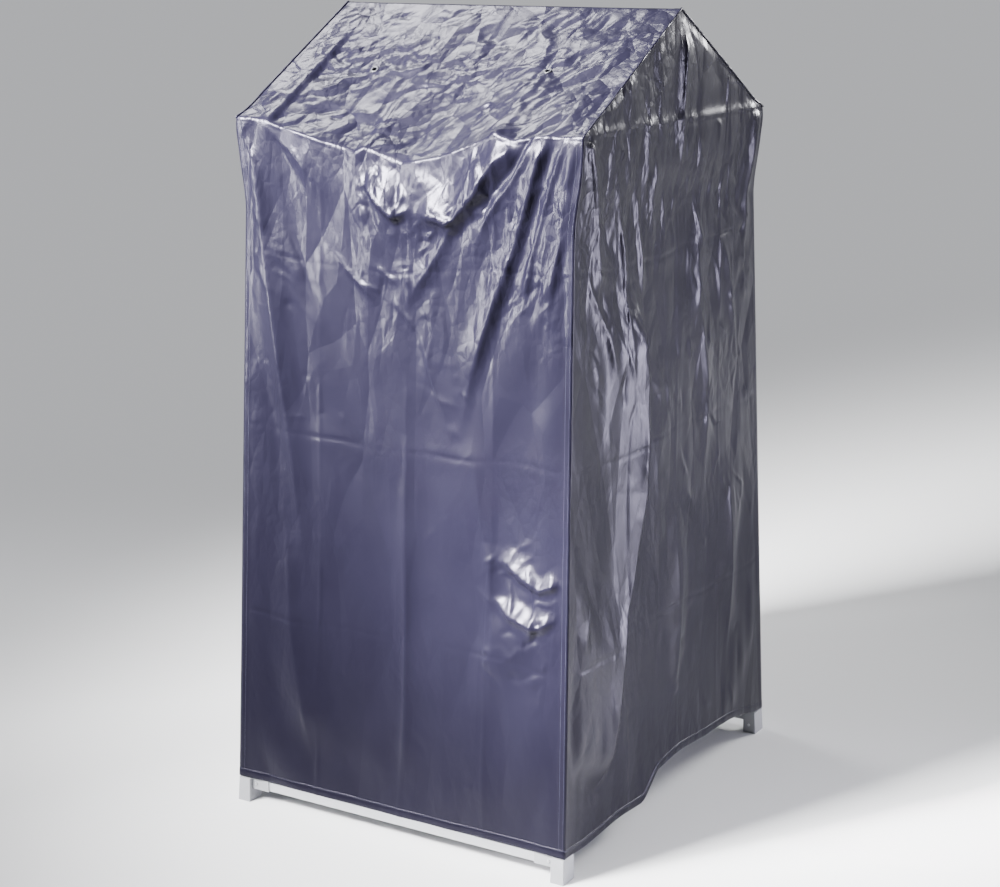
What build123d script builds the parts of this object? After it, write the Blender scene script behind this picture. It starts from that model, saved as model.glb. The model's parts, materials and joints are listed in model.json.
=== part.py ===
from build123d import *
import math
import os

# A free-standing clothes-drying frame under its fitted weather cover.
# +X runs along the ridge, +Y from the front to the rear, +Z up.
# The origin is on the ground, under the middle of the frame. Sizes are in millimetres.

# ---- overall sizes ----
base_width = 830.0          # over the outer faces of the feet, along X
base_depth = 955.0          # over the outer faces of the feet, along Y
eave_node_height = 1473.0   # where a leg's axis meets its rafter's height
leg_lean = 3.3              # degrees that each leg leans in towards the ridge
side_lean = 1.0             # degrees that each leg leans in from its side
roof_pitch = 29.5           # degrees

# ---- tubes ----
leg_width = 25.0            # along X
leg_depth = 30.0            # across the lean
rafter_size = 25.0
bar_size = 20.0             # bottom rails, side bars, cross rail and ridge bar
tube_wall = 1.5
socket_gap = 0.2            # each side of a tube in its socket
socket_wall = 2.0           # of collars and sleeves

# ---- feet ----
foot_width = 32.0
foot_depth = 45.0
foot_height = 53.0
foot_flare = 1.0            # each side, from top to bottom
foot_floor = 12.0           # solid plastic under the leg
foot_edge_radius = 2.0
rail_height = 40.0          # middle of the bottom rails above the ground
sleeve_length = 43.0        # of the stub that holds a bottom rail

# ---- elbows and ridge connectors ----
elbow_arm = 82.0            # from the node to the mouth of a socket
tube_start = 25.0           # from the node to the end of a tube
elbow_corner_radius = 9.0
elbow_wall = 4.0            # of elbows and ridge connectors
rafter_outset = 14.0        # rafter's axis outside the leg's axis
ridge_stub_length = 40.0
ridge_bar_drop = 3.0        # ridge bar below the ridge node, to clear the roof

# ---- collars and bars ----
top_bar_drop = 113.0        # top side bars below the eave node
level_step = 400.0          # from each pair of side bars down to the next
cross_rail_rise = 200.0     # cross rail above the lower side bars
collar_height = 36.0
collar_stub = 38.0          # past the collar's face
bar_stop = 4.0              # plastic left between a bar's end and the leg
rail_stop = 1.8             # plastic left between a rail's end and the leg

# ---- top clothesline ----
line_count = 9
line_pitch = 68.0
line_diameter = 3.6
line_bend = 2.4
line_hole_radius = 3.0
line_gap = 0.4              # between the line and the outside of a bar
knot_radius = 4.0

# ---- folding wings ----
wing_levels = ("lower", "middle")
hinge_span = 310.0          # each hinge from the middle of its bar
bracket_wall = 3.0
bracket_width = 22.0
ear_gap = 0.5               # each side of an arm between its ears
arm_diameter = 11.0
arm_wall = 1.2
arm_tail = 4.5              # arm past its pin
pin_radius = 2.5
pin_fit = 0.05              # pin in its ears
pin_running_fit = 0.08      # arm on its pin
pin_reach = 14.0            # pin's axis from the bracket's face
shelf_start = 9.0           # rest shelf from the pin's axis
shelf_length = 11.0
shelf_thickness = 3.0
shelf_gap = 0.2
wing_bar_offset = 30.0      # a wing's outer bar from the middle of the frame
wing_bar_diameter = 16.0
wing_bar_overhang = 14.0    # past each arm
wire_diameter = 3.6
wire_count = 5
wire_hole_gap = 0.15

# ---- screws ----
screw_radius = 1.9
screw_gap = 0.1
head_radius = 3.4
head_height = 1.8
screw_bite = 1.5            # shank past the inside of the tube's wall
foot_screw_height = 20.0
sleeve_screw_offset = 9.0   # from the foot's side
collar_screw_drop = 12.0    # screw from the mouth of a stub

# ---- weather cover ----
cloth = 1.5                 # thickness of the plain solids that stand for the cloth
cover_gap = 1.0             # to the elbows and connectors
hem_height = 56.0           # hem above the ground
hem_band = 18.0
hem_extra = 0.8             # a folded hem is this much thicker
side_hem_rise = 46.0        # middle of the side hems above their ends
vent_spacing = 418.0
vent_share = 0.49           # from the ridge to the eave, along the slope
vent_hole_radius = 6.0
vent_barrel_radius = 5.8
vent_bore_radius = 4.2
vent_flange_radius = 10.5
vent_flange = 1.0
vent_gap = 0.1

# ---- worked out ----
lean = math.radians(leg_lean)
tilt = math.radians(side_lean)
pitch = math.radians(roof_pitch)
leg_x_ground = base_width / 2 - foot_width / 2
leg_y_ground = base_depth / 2 - foot_depth / 2
node_y = leg_y_ground - eave_node_height * math.tan(lean)
ridge_node_height = eave_node_height + node_y * math.tan(pitch)
top_level = eave_node_height - top_bar_drop
level_heights = {
    "lower": top_level - 2 * level_step,
    "middle": top_level - level_step,
    "top": top_level,
}
cross_rail_height = level_heights["lower"] + cross_rail_rise
socket_width = leg_width + 2 * (socket_gap + socket_wall)
socket_depth = leg_depth + 2 * (socket_gap + socket_wall)
elbow_socket = leg_depth + 2 * (socket_gap + elbow_wall)
rafter_socket = rafter_size + 2 * (socket_gap + elbow_wall)
sleeve_size = bar_size + 2 * (socket_gap + socket_wall)
rafter_x = leg_x_ground - eave_node_height * math.tan(tilt) + rafter_outset
roof_outer_x = rafter_x + rafter_socket / 2
hem_leg_x = leg_x_ground - hem_height * math.tan(tilt) + leg_width / 2 / math.cos(tilt)
cover_inner_x = max(roof_outer_x, hem_leg_x) + cover_gap
bracket_size = bar_size + 2 * (socket_gap + bracket_wall)

LEFT, RIGHT, FRONT, REAR = -1, 1, -1, 1
sides = {"left": LEFT, "right": RIGHT}
ends = {"front": FRONT, "rear": REAR}
corners = [(side, end) for end in ends for side in sides]


def leg_x(height):
    """A leg's axis from the middle of the frame along X, at that height."""
    return leg_x_ground - height * math.tan(tilt)


def leg_y(height):
    """A leg's axis from the middle of the frame along Y, at that height."""
    return leg_y_ground - height * math.tan(lean)


def rail_end_x(height):
    """Where a rail along X stops, short of the leg."""
    return leg_x(height) - leg_width / 2 / math.cos(tilt) - socket_gap - rail_stop


def pin_x(height):
    """A wing's hinge pin from the middle of the frame."""
    return leg_x(height) - bracket_size / 2 - pin_reach


def leg_axis(side, end, height):
    """A plane whose Z runs up a leg, at that height."""
    origin = (side * leg_x(height), end * leg_y(height), height)
    way = (-side * math.tan(tilt), -end * math.tan(lean), 1)
    return Plane(origin, x_dir=(1, 0, 0), z_dir=way)


def rafter_axis(side, end, distance):
    """A plane whose Z runs up a rafter, that far from its eave node."""
    along = (0, -end * math.cos(pitch), math.sin(pitch))
    origin = (
        side * rafter_x,
        end * node_y + distance * along[1],
        eave_node_height + distance * along[2],
    )
    return Plane(origin, x_dir=(1, 0, 0), z_dir=along)


rafter_length = node_y / math.cos(pitch)


def bar_between(plane, width, depth, start, stop):
    """A solid bar along a plane's Z, from start to stop."""
    middle = Location((0, 0, (start + stop) / 2))
    return plane * middle * Box(width, depth, stop - start)


def tube_between(plane, width, depth, start, stop):
    outer = bar_between(plane, width, depth, start, stop)
    inner = bar_between(
        plane, width - 2 * tube_wall, depth - 2 * tube_wall, start - 1, stop + 1
    )
    return outer - inner


def along_x(x_start, x_stop, y, z, width, height):
    return Pos((x_start + x_stop) / 2, y, z) * Box(abs(x_stop - x_start), width, height)


def along_y(y_start, y_stop, x, z, width, height):
    return Pos(x, (y_start + y_stop) / 2, z) * Box(width, abs(y_stop - y_start), height)


def rod(start, stop, radius):
    """A round bar from one point to another."""
    path = Vector(*stop) - Vector(*start)
    plane = Plane(start, z_dir=path)
    return plane * Cylinder(
        radius, path.length, align=(Align.CENTER, Align.CENTER, Align.MIN)
    )


def pipe(start, stop, radius, wall):
    return rod(start, stop, radius) - rod(start, stop, radius - wall)


def screw(seat, direction, length):
    """A pan-head screw whose head sits on seat and whose shank runs along direction."""
    way = Vector(*direction).normalized()
    at = Vector(*seat)
    shank = rod(tuple(at), tuple(at + way * length), screw_radius)
    head = rod(tuple(at), tuple(at - way * head_height), head_radius)
    return head + shank


def screw_hole(seat, direction, length):
    way = Vector(*direction).normalized()
    at = Vector(*seat)
    return rod(tuple(at - way), tuple(at + way * (length + 1)), screw_radius + screw_gap)


# ---- where the screws go: (seat, direction, length) ----
def foot_screws(side, end):
    """One into the leg from the foot's inner face, one into the rail through the sleeve."""
    inner = leg_y(foot_screw_height) - foot_depth / 2
    wall = foot_depth / 2 - leg_depth / 2 + tube_wall + screw_bite + foot_flare
    leg_one = (
        (side * leg_x(foot_screw_height), end * (inner + 1.2), foot_screw_height),
        (0, end, 0),
        wall,
    )
    rail_one = (
        (
            side * (leg_x(rail_height) - foot_width / 2 - sleeve_screw_offset),
            end * leg_y(rail_height) - sleeve_size / 2,
            rail_height,
        ),
        (0, 1, 0),
        socket_wall + socket_gap + tube_wall + screw_bite,
    )
    return [leg_one, rail_one]


stub_screw_length = socket_wall + socket_gap + tube_wall + screw_bite
elbow_inner_x = leg_x(eave_node_height) - leg_width / 2 - socket_gap - elbow_wall
ridge_inner_x = rafter_x - rafter_socket / 2


def elbow_screws(side, end):
    """One into the leg and one into the rafter, from the inside."""
    middle = (tube_start + elbow_arm) / 2
    low = (leg_axis(side, end, eave_node_height) * Location((0, 0, -middle))).position
    high = rafter_axis(side, end, middle).location.position
    reach = elbow_wall + socket_gap + tube_wall + screw_bite
    leg_one = ((side * elbow_inner_x, low.Y, low.Z), (side, 0, 0), reach + elbow_wall / 2)
    deeper = rafter_x - rafter_socket / 2 - elbow_inner_x
    rafter_one = ((side * elbow_inner_x, high.Y, high.Z), (side, 0, 0), reach + deeper)
    return [leg_one, rafter_one]


def ridge_screws(side):
    """One into each rafter, from the inside, and one up into the ridge bar."""
    middle = (tube_start + elbow_arm) / 2
    reach = elbow_wall + socket_gap + tube_wall + screw_bite
    found = []
    for end in ends.values():
        place = rafter_axis(side, end, rafter_length - middle).location.position
        found.append(((side * ridge_inner_x, place.Y, place.Z), (side, 0, 0), reach))
    under = ridge_node_height - ridge_bar_drop - sleeve_size / 2
    stub_x = side * (ridge_inner_x - ridge_stub_length + collar_screw_drop)
    found.append(((stub_x, 0, under), (0, 0, 1), stub_screw_length))
    return found


def collar_screws(side, end, height):
    """One up into the side bar, near the mouth of the collar's stub."""
    mouth = leg_y(height) - socket_depth / 2 - collar_stub
    y = end * (mouth + collar_screw_drop)
    seat = (side * leg_x(height), y, height - sleeve_size / 2)
    return [(seat, (0, 0, 1), stub_screw_length)]


def cross_collar_screws(side):
    mouth = leg_x(cross_rail_height) - socket_width / 2 - collar_stub
    seat = (
        side * (mouth + collar_screw_drop),
        leg_y(cross_rail_height),
        cross_rail_height - sleeve_size / 2,
    )
    return [(seat, (0, 0, 1), stub_screw_length)]


def drill(shape, places):
    for place in places:
        shape = shape - screw_hole(*place)
    return shape


def fit_screws(places):
    return Compound([screw(*place) for place in places])


# ---- the frame's pieces ----
def make_foot(side, end):
    x_top, y_top = leg_x(foot_height), leg_y(foot_height)
    low = Pos(side * leg_x_ground, end * leg_y_ground, 0) * Rectangle(foot_width, foot_depth)
    high = Pos(side * x_top, end * y_top, foot_height) * Rectangle(
        foot_width - 2 * foot_flare, foot_depth - 2 * foot_flare
    )
    block = loft([low.face(), high.face()])
    uprights = [e for e in block.edges() if abs(e.center().Z - foot_height / 2) < 1]
    block = fillet(uprights, foot_edge_radius)
    mouth = leg_x(rail_height) - foot_width / 2 - sleeve_length
    sleeve = along_x(
        side * leg_x(rail_height),
        side * mouth,
        end * leg_y(rail_height),
        rail_height,
        sleeve_size,
        sleeve_size,
    )
    leg_hollow = bar_between(
        leg_axis(side, end, 0),
        leg_width + 2 * socket_gap,
        leg_depth + 2 * socket_gap,
        foot_floor,
        2 * foot_height,
    )
    rail_hollow = along_x(
        side * rail_end_x(rail_height),
        side * (mouth - 1),
        end * leg_y(rail_height),
        rail_height,
        bar_size + 2 * socket_gap,
        bar_size + 2 * socket_gap,
    )
    foot = block + sleeve - leg_hollow - rail_hollow
    seat, way, _ = foot_screws(side, end)[0]
    recess = rod(
        seat, tuple(Vector(*seat) - Vector(*way) * 4), head_radius + 2 * screw_gap
    )
    return drill(foot - recess, foot_screws(side, end))


def make_leg(side, end):
    top = eave_node_height * math.hypot(1, math.tan(lean), math.tan(tilt)) - tube_start
    leg = tube_between(leg_axis(side, end, 0), leg_width, leg_depth, foot_floor, top)
    places = [foot_screws(side, end)[0], elbow_screws(side, end)[0]]
    return drill(leg, places)


def make_bottom_rail(end):
    y, stop = end * leg_y(rail_height), rail_end_x(rail_height)
    rail = along_x(-stop, stop, y, rail_height, bar_size, bar_size)
    hollow = bar_size - 2 * tube_wall
    rail = rail - along_x(-stop - 1, stop + 1, y, rail_height, hollow, hollow)
    return drill(rail, [foot_screws(side, end)[1] for side in sides.values()])


def meeting(p, p_way, q, q_way):
    """The point where two lines in the YZ plane meet."""
    cross = p_way[0] * q_way[1] - p_way[1] * q_way[0]
    t = ((q[0] - p[0]) * q_way[1] - (q[1] - p[1]) * q_way[0]) / cross
    return (p[0] + t * p_way[0], p[1] + t * p_way[1])


def slab(outline, x_low, x_high, radii=()):
    """A YZ outline pushed out along X; radii are (corner number, radius)."""
    plane = Plane((x_low, 0, 0), x_dir=(0, 1, 0), z_dir=(1, 0, 0))
    shape = plane * extrude(
        make_face(Polyline(*outline, close=True)), amount=x_high - x_low
    )
    for number, radius in radii:
        y, z = outline[number]
        edge = min(
            shape.edges(),
            key=lambda e: math.hypot(e.center().Y - y, e.center().Z - z),
        )
        shape = fillet(edge, radius)
    return shape


def elbow_outline(end):
    """Outer outline of an elbow: down the leg's outside, then round to its inside."""
    node = (end * node_y, eave_node_height)
    down = (end * math.sin(lean), -math.cos(lean))
    outward = (end * math.cos(lean), math.sin(lean))
    up = (-end * math.cos(pitch), math.sin(pitch))
    above = (end * math.sin(pitch), math.cos(pitch))
    half_leg, half_rafter = elbow_socket / 2, rafter_socket / 2

    def off(way, distance, across, width):
        return (
            node[0] + way[0] * distance + across[0] * width,
            node[1] + way[1] * distance + across[1] * width,
        )

    outer_corner = meeting(
        off(down, 0, outward, half_leg), down, off(up, 0, above, half_rafter), up
    )
    inner_corner = meeting(
        off(down, 0, outward, -half_leg), down, off(up, 0, above, -half_rafter), up
    )
    return [
        off(down, elbow_arm, outward, half_leg),
        outer_corner,
        off(up, elbow_arm, above, half_rafter),
        off(up, elbow_arm, above, -half_rafter),
        inner_corner,
        off(down, elbow_arm, outward, -half_leg),
    ]


def rafter_hollow(side, end, start, stop):
    size = rafter_size + 2 * socket_gap
    return bar_between(rafter_axis(side, end, 0), size, size, start, stop)


def make_elbow(side, end):
    x_low, x_high = sorted((side * elbow_inner_x, side * roof_outer_x))
    corner_radii = [(1, elbow_corner_radius), (4, elbow_corner_radius)]
    body = slab(elbow_outline(end), x_low, x_high, corner_radii)
    leg_hollow = bar_between(
        leg_axis(side, end, eave_node_height),
        leg_width + 2 * socket_gap,
        leg_depth + 2 * socket_gap,
        -elbow_arm - 2,
        -tube_start,
    )
    mouth = rafter_hollow(side, end, tube_start, elbow_arm + 2)
    return drill(body - leg_hollow - mouth, elbow_screws(side, end))


def make_rafter(side, end):
    stop = rafter_length - tube_start
    rafter = tube_between(
        rafter_axis(side, end, 0), rafter_size, rafter_size, tube_start, stop
    )
    ridge_end = ridge_screws(side)[list(ends.values()).index(end)]
    return drill(rafter, [elbow_screws(side, end)[1], ridge_end])


def ridge_outline():
    """A roof-shaped outline, from the front arm's mouth over the ridge to the rear's."""
    half = rafter_socket / 2
    top = ridge_node_height + half / math.cos(pitch)
    under = ridge_node_height - half / math.cos(pitch)
    reach, drop = elbow_arm * math.cos(pitch), elbow_arm * math.sin(pitch)
    out, rise = half * math.sin(pitch), half * math.cos(pitch)
    rear = [
        (reach + out, ridge_node_height - drop + rise),
        (reach - out, ridge_node_height - drop - rise),
    ]
    front = [(-y, z) for y, z in reversed(rear)]
    return [(0, top), *rear, (0, under), *front]


def make_ridge_connector(side):
    x_low, x_high = sorted((side * ridge_inner_x, side * roof_outer_x))
    body = slab(ridge_outline(), x_low, x_high)
    bar_z = ridge_node_height - ridge_bar_drop
    face = ridge_inner_x
    stub = along_x(
        side * (face + 1), side * (face - ridge_stub_length), 0, bar_z,
        sleeve_size, sleeve_size,
    )
    body = body + stub
    for end in ends.values():
        body = body - rafter_hollow(
            side, end, rafter_length - elbow_arm - 2, rafter_length - tube_start
        )
    bar_hollow = bar_size + 2 * socket_gap
    body = body - along_x(
        side * face, side * (face - ridge_stub_length - 1), 0, bar_z,
        bar_hollow, bar_hollow,
    )
    return drill(body, ridge_screws(side))


def make_ridge_bar():
    face = ridge_inner_x
    bar_z = ridge_node_height - ridge_bar_drop
    hollow = bar_size - 2 * tube_wall
    bar = along_x(-face, face, 0, bar_z, bar_size, bar_size)
    bar = bar - along_x(-face - 1, face + 1, 0, bar_z, hollow, hollow)
    return drill(bar, [ridge_screws(side)[2] for side in sides.values()])


def bar_end_y(height):
    """Where a side bar stops, short of the leg that its collar holds."""
    return leg_y(height) - leg_depth / 2 - socket_gap - bar_stop


def make_collar(side, end, height):
    plane = leg_axis(side, end, height)
    half = collar_height / 2
    body = bar_between(plane, socket_width, socket_depth, -half, half)
    mouth = leg_y(height) - socket_depth / 2 - collar_stub
    x = side * leg_x(height)
    body = body + along_y(
        end * mouth, end * leg_y(height), x, height, sleeve_size, sleeve_size
    )
    body = body - bar_between(
        plane,
        leg_width + 2 * socket_gap,
        leg_depth + 2 * socket_gap,
        -collar_height,
        collar_height,
    )
    hollow = bar_size + 2 * socket_gap
    body = body - along_y(
        end * (mouth - 1), end * bar_end_y(height), x, height, hollow, hollow
    )
    return drill(body, collar_screws(side, end, height))


def line_places():
    first = -(line_count - 1) / 2 * line_pitch
    return [first + number * line_pitch for number in range(line_count)]


def make_side_bar(side, level):
    height = level_heights[level]
    stop = bar_end_y(height)
    hollow = bar_size - 2 * tube_wall
    x = side * leg_x(height)
    bar = along_y(-stop, stop, x, height, bar_size, bar_size)
    bar = bar - along_y(-stop - 1, stop + 1, x, height, hollow, hollow)
    if level == "top":
        for y in line_places():
            bar = bar - rod(
                (x - bar_size, y, height), (x + bar_size, y, height), line_hole_radius
            )
    places = [collar_screws(side, end, height)[0] for end in ends.values()]
    return drill(bar, places)


def make_cross_collar(side):
    plane = leg_axis(side, REAR, cross_rail_height)
    half = collar_height / 2
    y = leg_y(cross_rail_height)
    body = bar_between(plane, socket_width, socket_depth, -half, half)
    axis_x = leg_x(cross_rail_height)
    face = axis_x - socket_width / 2
    body = body + along_x(
        side * (axis_x - leg_width / 2), side * (face - collar_stub), y,
        cross_rail_height, sleeve_size, sleeve_size,
    )
    body = body - bar_between(
        plane,
        leg_width + 2 * socket_gap,
        leg_depth + 2 * socket_gap,
        -collar_height,
        collar_height,
    )
    hollow = bar_size + 2 * socket_gap
    body = body - along_x(
        side * rail_end_x(cross_rail_height), side * (face - collar_stub - 1), y,
        cross_rail_height, hollow, hollow,
    )
    return drill(body, cross_collar_screws(side))


def make_cross_rail():
    y, stop = leg_y(cross_rail_height), rail_end_x(cross_rail_height)
    hollow = bar_size - 2 * tube_wall
    rail = along_x(-stop, stop, y, cross_rail_height, bar_size, bar_size)
    rail = rail - along_x(-stop - 1, stop + 1, y, cross_rail_height, hollow, hollow)
    return drill(rail, [cross_collar_screws(side)[0] for side in sides.values()])


def make_top_line():
    """One line, knotted inside the bars and laced to and fro through their holes."""
    height = level_heights["top"]
    bar_x = leg_x(height)
    line_outer_x = bar_x + bar_size / 2 + line_gap + line_diameter / 2
    points = [(-bar_x, line_places()[0], height)]
    way = RIGHT
    for y, next_y in zip(line_places(), line_places()[1:]):
        points.append((way * line_outer_x, y, height))
        points.append((way * line_outer_x, next_y, height))
        way = -way
    points.append((way * bar_x, line_places()[-1], height))
    path = FilletPolyline(*points, radius=line_bend)
    profile = Plane(points[0], z_dir=(1, 0, 0)) * Circle(line_diameter / 2)
    line = sweep(profile, path=path)
    for end_point in (points[0], points[-1]):
        line = line + Pos(*end_point) * Sphere(knot_radius)
    length = path.length
    exact = math.pi * (line_diameter / 2) ** 2 * length
    print(f"top line {length:.0f} mm long, volume / (section x length) {line.volume / exact:.3f}")
    return line


# ---- folding wings ----
def make_bracket(side, end, level):
    """A hinge bracket on a side bar: a sleeve, two ears and a rest shelf."""
    height = level_heights[level]
    y, bar_x, axis_x = end * hinge_span, leg_x(height), pin_x(height)
    face = bar_x - bracket_size / 2
    tip = axis_x - shelf_start - shelf_length
    block = Pos(side * bar_x, y, height) * Box(bracket_size, bracket_width, bracket_size)
    ears = along_x(side * tip, side * (face + 1), y, height, bracket_width, bracket_size)
    slot_width = arm_diameter + 2 * ear_gap
    slot = along_x(
        side * (tip - 1), side * face, y, height, slot_width, bracket_size + 2
    )
    shelf_top = height - arm_diameter / 2 - shelf_gap
    shelf = along_x(
        side * tip,
        side * (tip + shelf_length),
        y,
        shelf_top - shelf_thickness / 2,
        slot_width,
        shelf_thickness,
    )
    body = block + (ears - slot) + shelf
    hollow = bar_size + 2 * socket_gap
    body = body - Pos(side * bar_x, y, height) * Box(hollow, bracket_width + 2, hollow)
    pin_hole = rod(
        (side * axis_x, y - bracket_width, height),
        (side * axis_x, y + bracket_width, height),
        pin_radius + pin_fit,
    )
    return body - pin_hole


def make_pin(side, end, level):
    height, y = level_heights[level], end * hinge_span
    x, half = side * pin_x(height), bracket_width / 2
    return rod((x, y - half, height), (x, y + half, height), pin_radius)


def wire_places(height):
    """X of each wire, evenly between the hinges and the outer bar."""
    step = (pin_x(height) - wing_bar_offset) / (wire_count + 1)
    return [wing_bar_offset + step * (number + 1) for number in range(wire_count)]


def make_wing_arms(side, level):
    height = level_heights[level]
    arms = []
    for end in ends.values():
        y = end * hinge_span
        start = (side * (pin_x(height) + arm_tail), y, height)
        stop = (side * (wing_bar_offset + wing_bar_diameter / 4), y, height)
        arm = pipe(start, stop, arm_diameter / 2, arm_wall)
        arm = arm - rod(
            (side * pin_x(height), y - arm_diameter, height),
            (side * pin_x(height), y + arm_diameter, height),
            pin_radius + pin_running_fit,
        )
        for x in wire_places(height):
            arm = arm - rod(
                (side * x, y, height),
                (side * x, y - end * arm_diameter, height),
                wire_diameter / 2 + wire_hole_gap,
            )
        arms.append(arm)
    return Compound(arms)


def make_wing_bar(side, level):
    height = level_heights[level]
    x, reach = side * wing_bar_offset, hinge_span + wing_bar_overhang
    bar = pipe((x, -reach, height), (x, reach, height), wing_bar_diameter / 2, arm_wall)
    for end in ends.values():
        y = end * hinge_span
        bar = bar - rod(
            (x, y, height),
            (x + side * wing_bar_diameter, y, height),
            arm_diameter / 2 + wire_hole_gap,
        )
    return bar


def make_wing_wires(side, level):
    height = level_heights[level]
    reach = hinge_span - arm_diameter / 2 + arm_wall + 1
    return Compound([
        rod((side * x, -reach, height), (side * x, reach, height), wire_diameter / 2)
        for x in wire_places(height)
    ])


# ---- the weather cover ----
def cover_line(offset):
    """Hem, eave and ridge points of the rear half, that far outside the sockets."""
    wall_offset = (elbow_socket / 2 + offset) / math.cos(lean)
    roof_offset = (rafter_socket / 2 + offset) / math.cos(pitch)
    wall = (leg_y_ground + wall_offset, 0.0)
    wall_way = (-math.tan(lean), 1.0)
    ridge = (0.0, ridge_node_height + roof_offset)
    roof_way = (1.0, -math.tan(pitch))
    eave = meeting(wall, wall_way, ridge, roof_way)
    return wall, eave, ridge


def wall_point(offset, height):
    wall, _, _ = cover_line(offset)
    return (wall[0] - height * math.tan(lean), height)


def flip(end, points):
    return [(end * y, z) for y, z in points]


def make_wall_panel(end):
    inner, outer = cover_gap, cover_gap + cloth
    low = hem_height + hem_band
    outline = [
        wall_point(outer, low),
        cover_line(outer)[1],
        cover_line(inner)[1],
        wall_point(inner, low),
    ]
    return slab(flip(end, outline), -cover_inner_x, cover_inner_x)


def vent_plane(side, end):
    """A plane on the outside of a roof panel, at a vent."""
    _, eave, ridge = cover_line(cover_gap + cloth)
    y = ridge[0] + (eave[0] - ridge[0]) * vent_share
    z = ridge[1] + (eave[1] - ridge[1]) * vent_share
    outward = (0, end * math.sin(pitch), math.cos(pitch))
    return Plane((side * vent_spacing / 2, end * y, z), x_dir=(1, 0, 0), z_dir=outward)


def make_roof_panel(end):
    inner, outer = cover_gap, cover_gap + cloth
    outline = [
        cover_line(outer)[1],
        cover_line(outer)[2],
        cover_line(inner)[2],
        cover_line(inner)[1],
    ]
    panel = slab(flip(end, outline), -cover_inner_x, cover_inner_x)
    for side in sides.values():
        panel = panel - vent_plane(side, end) * Cylinder(vent_hole_radius, 6 * cloth)
    return panel


def gable_face(bottom):
    """The gable's outline as a face, with its arched hem raised by bottom."""
    outer = cover_gap + cloth
    low = wall_point(outer, hem_height + bottom)
    _, eave, ridge = cover_line(outer)
    crown = (0.0, hem_height + bottom + side_hem_rise)
    edges = [
        Line(low, eave),
        Line(eave, ridge),
        Line(ridge, (-eave[0], eave[1])),
        Line((-eave[0], eave[1]), (-low[0], low[1])),
        ThreePointArc((-low[0], low[1]), crown, low),
    ]
    return make_face(edges)


def push_out(face, x_low, x_high):
    plane = Plane((x_low, 0, 0), x_dir=(0, 1, 0), z_dir=(1, 0, 0))
    return plane * extrude(face, amount=x_high - x_low)


def side_span(side, thickness):
    """X limits of something that thick on the outside of a gable's inner plane."""
    low, high = sorted((side * cover_inner_x, side * (cover_inner_x + thickness)))
    return low, high


def make_gable_panel(side):
    return push_out(gable_face(hem_band), *side_span(side, cloth))


def make_hem():
    """The folded hem, as four strips."""
    strips = []
    thick = cloth + hem_extra
    for side in sides.values():
        span = side_span(side, thick)
        strips.append(
            push_out(gable_face(0), *span) - push_out(gable_face(hem_band), *span)
        )
    for end in ends.values():
        outline = [
            wall_point(cover_gap + thick, hem_height),
            wall_point(cover_gap + thick, hem_height + hem_band),
            wall_point(cover_gap, hem_height + hem_band),
            wall_point(cover_gap, hem_height),
        ]
        strips.append(slab(flip(end, outline), -cover_inner_x, cover_inner_x))
    return Compound(strips)


def make_vent_eyelet(side, end):
    """A moulded ring: a barrel through the roof with a flange on each face."""
    under = -cloth - vent_gap - vent_flange
    over = vent_gap + vent_flange
    plane = vent_plane(side, end)

    def disc(radius, low, high):
        return Pos(0, 0, (low + high) / 2) * Cylinder(radius, high - low)

    ring = (
        disc(vent_barrel_radius, under, over)
        + disc(vent_flange_radius, under, under + vent_flange)
        + disc(vent_flange_radius, over - vent_flange, over)
        - disc(vent_bore_radius, under - 1, over + 1)
    )
    return plane * ring


def build():
    parts = {}
    for side, end in corners:
        s, e = sides[side], ends[end]
        parts[f"foot_{end}_{side}"] = make_foot(s, e)
        parts[f"leg_{end}_{side}"] = make_leg(s, e)
        parts[f"eave_elbow_{end}_{side}"] = make_elbow(s, e)
        parts[f"rafter_{end}_{side}"] = make_rafter(s, e)
    for end, e in ends.items():
        parts[f"bottom_rail_{end}"] = make_bottom_rail(e)
        parts[f"cover_wall_{end}"] = make_wall_panel(e)
        parts[f"cover_roof_{end}"] = make_roof_panel(e)
    for side, s in sides.items():
        parts[f"ridge_connector_{side}"] = make_ridge_connector(s)
        parts[f"cover_gable_{side}"] = make_gable_panel(s)
        for level in level_heights:
            parts[f"side_bar_{level}_{side}"] = make_side_bar(s, level)
        for level in wing_levels:
            parts[f"wing_arms_{level}_{side}"] = make_wing_arms(s, level)
            parts[f"wing_bar_{level}_{side}"] = make_wing_bar(s, level)
            parts[f"wing_wires_{level}_{side}"] = make_wing_wires(s, level)
    every_corner = [(sides[side], ends[end]) for side, end in corners]
    for level, height in level_heights.items():
        parts[f"bar_collars_{level}"] = Compound(
            [make_collar(s, e, height) for s, e in every_corner]
        )
    for level in wing_levels:
        parts[f"hinge_brackets_{level}"] = Compound(
            [make_bracket(s, e, level) for s, e in every_corner]
        )
    parts["hinge_pins"] = Compound(
        [make_pin(s, e, level) for level in wing_levels for s, e in every_corner]
    )
    parts["ridge_bar"] = make_ridge_bar()
    parts["cross_rail"] = make_cross_rail()
    parts["cross_rail_collars"] = Compound([make_cross_collar(s) for s in sides.values()])
    parts["top_clothesline"] = make_top_line()
    parts["foot_screws"] = fit_screws(
        [place for corner in every_corner for place in foot_screws(*corner)]
    )
    roof_places = [place for corner in every_corner for place in elbow_screws(*corner)]
    roof_places += [place for s in sides.values() for place in ridge_screws(s)]
    parts["roof_screws"] = fit_screws(roof_places)
    collar_places = [
        place
        for height in level_heights.values()
        for s, e in every_corner
        for place in collar_screws(s, e, height)
    ]
    collar_places += [place for s in sides.values() for place in cross_collar_screws(s)]
    parts["collar_screws"] = fit_screws(collar_places)
    parts["cover_hem"] = make_hem()
    parts["cover_vent_eyelets"] = Compound(
        [make_vent_eyelet(s, e) for s, e in every_corner]
    )
    return parts


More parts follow.
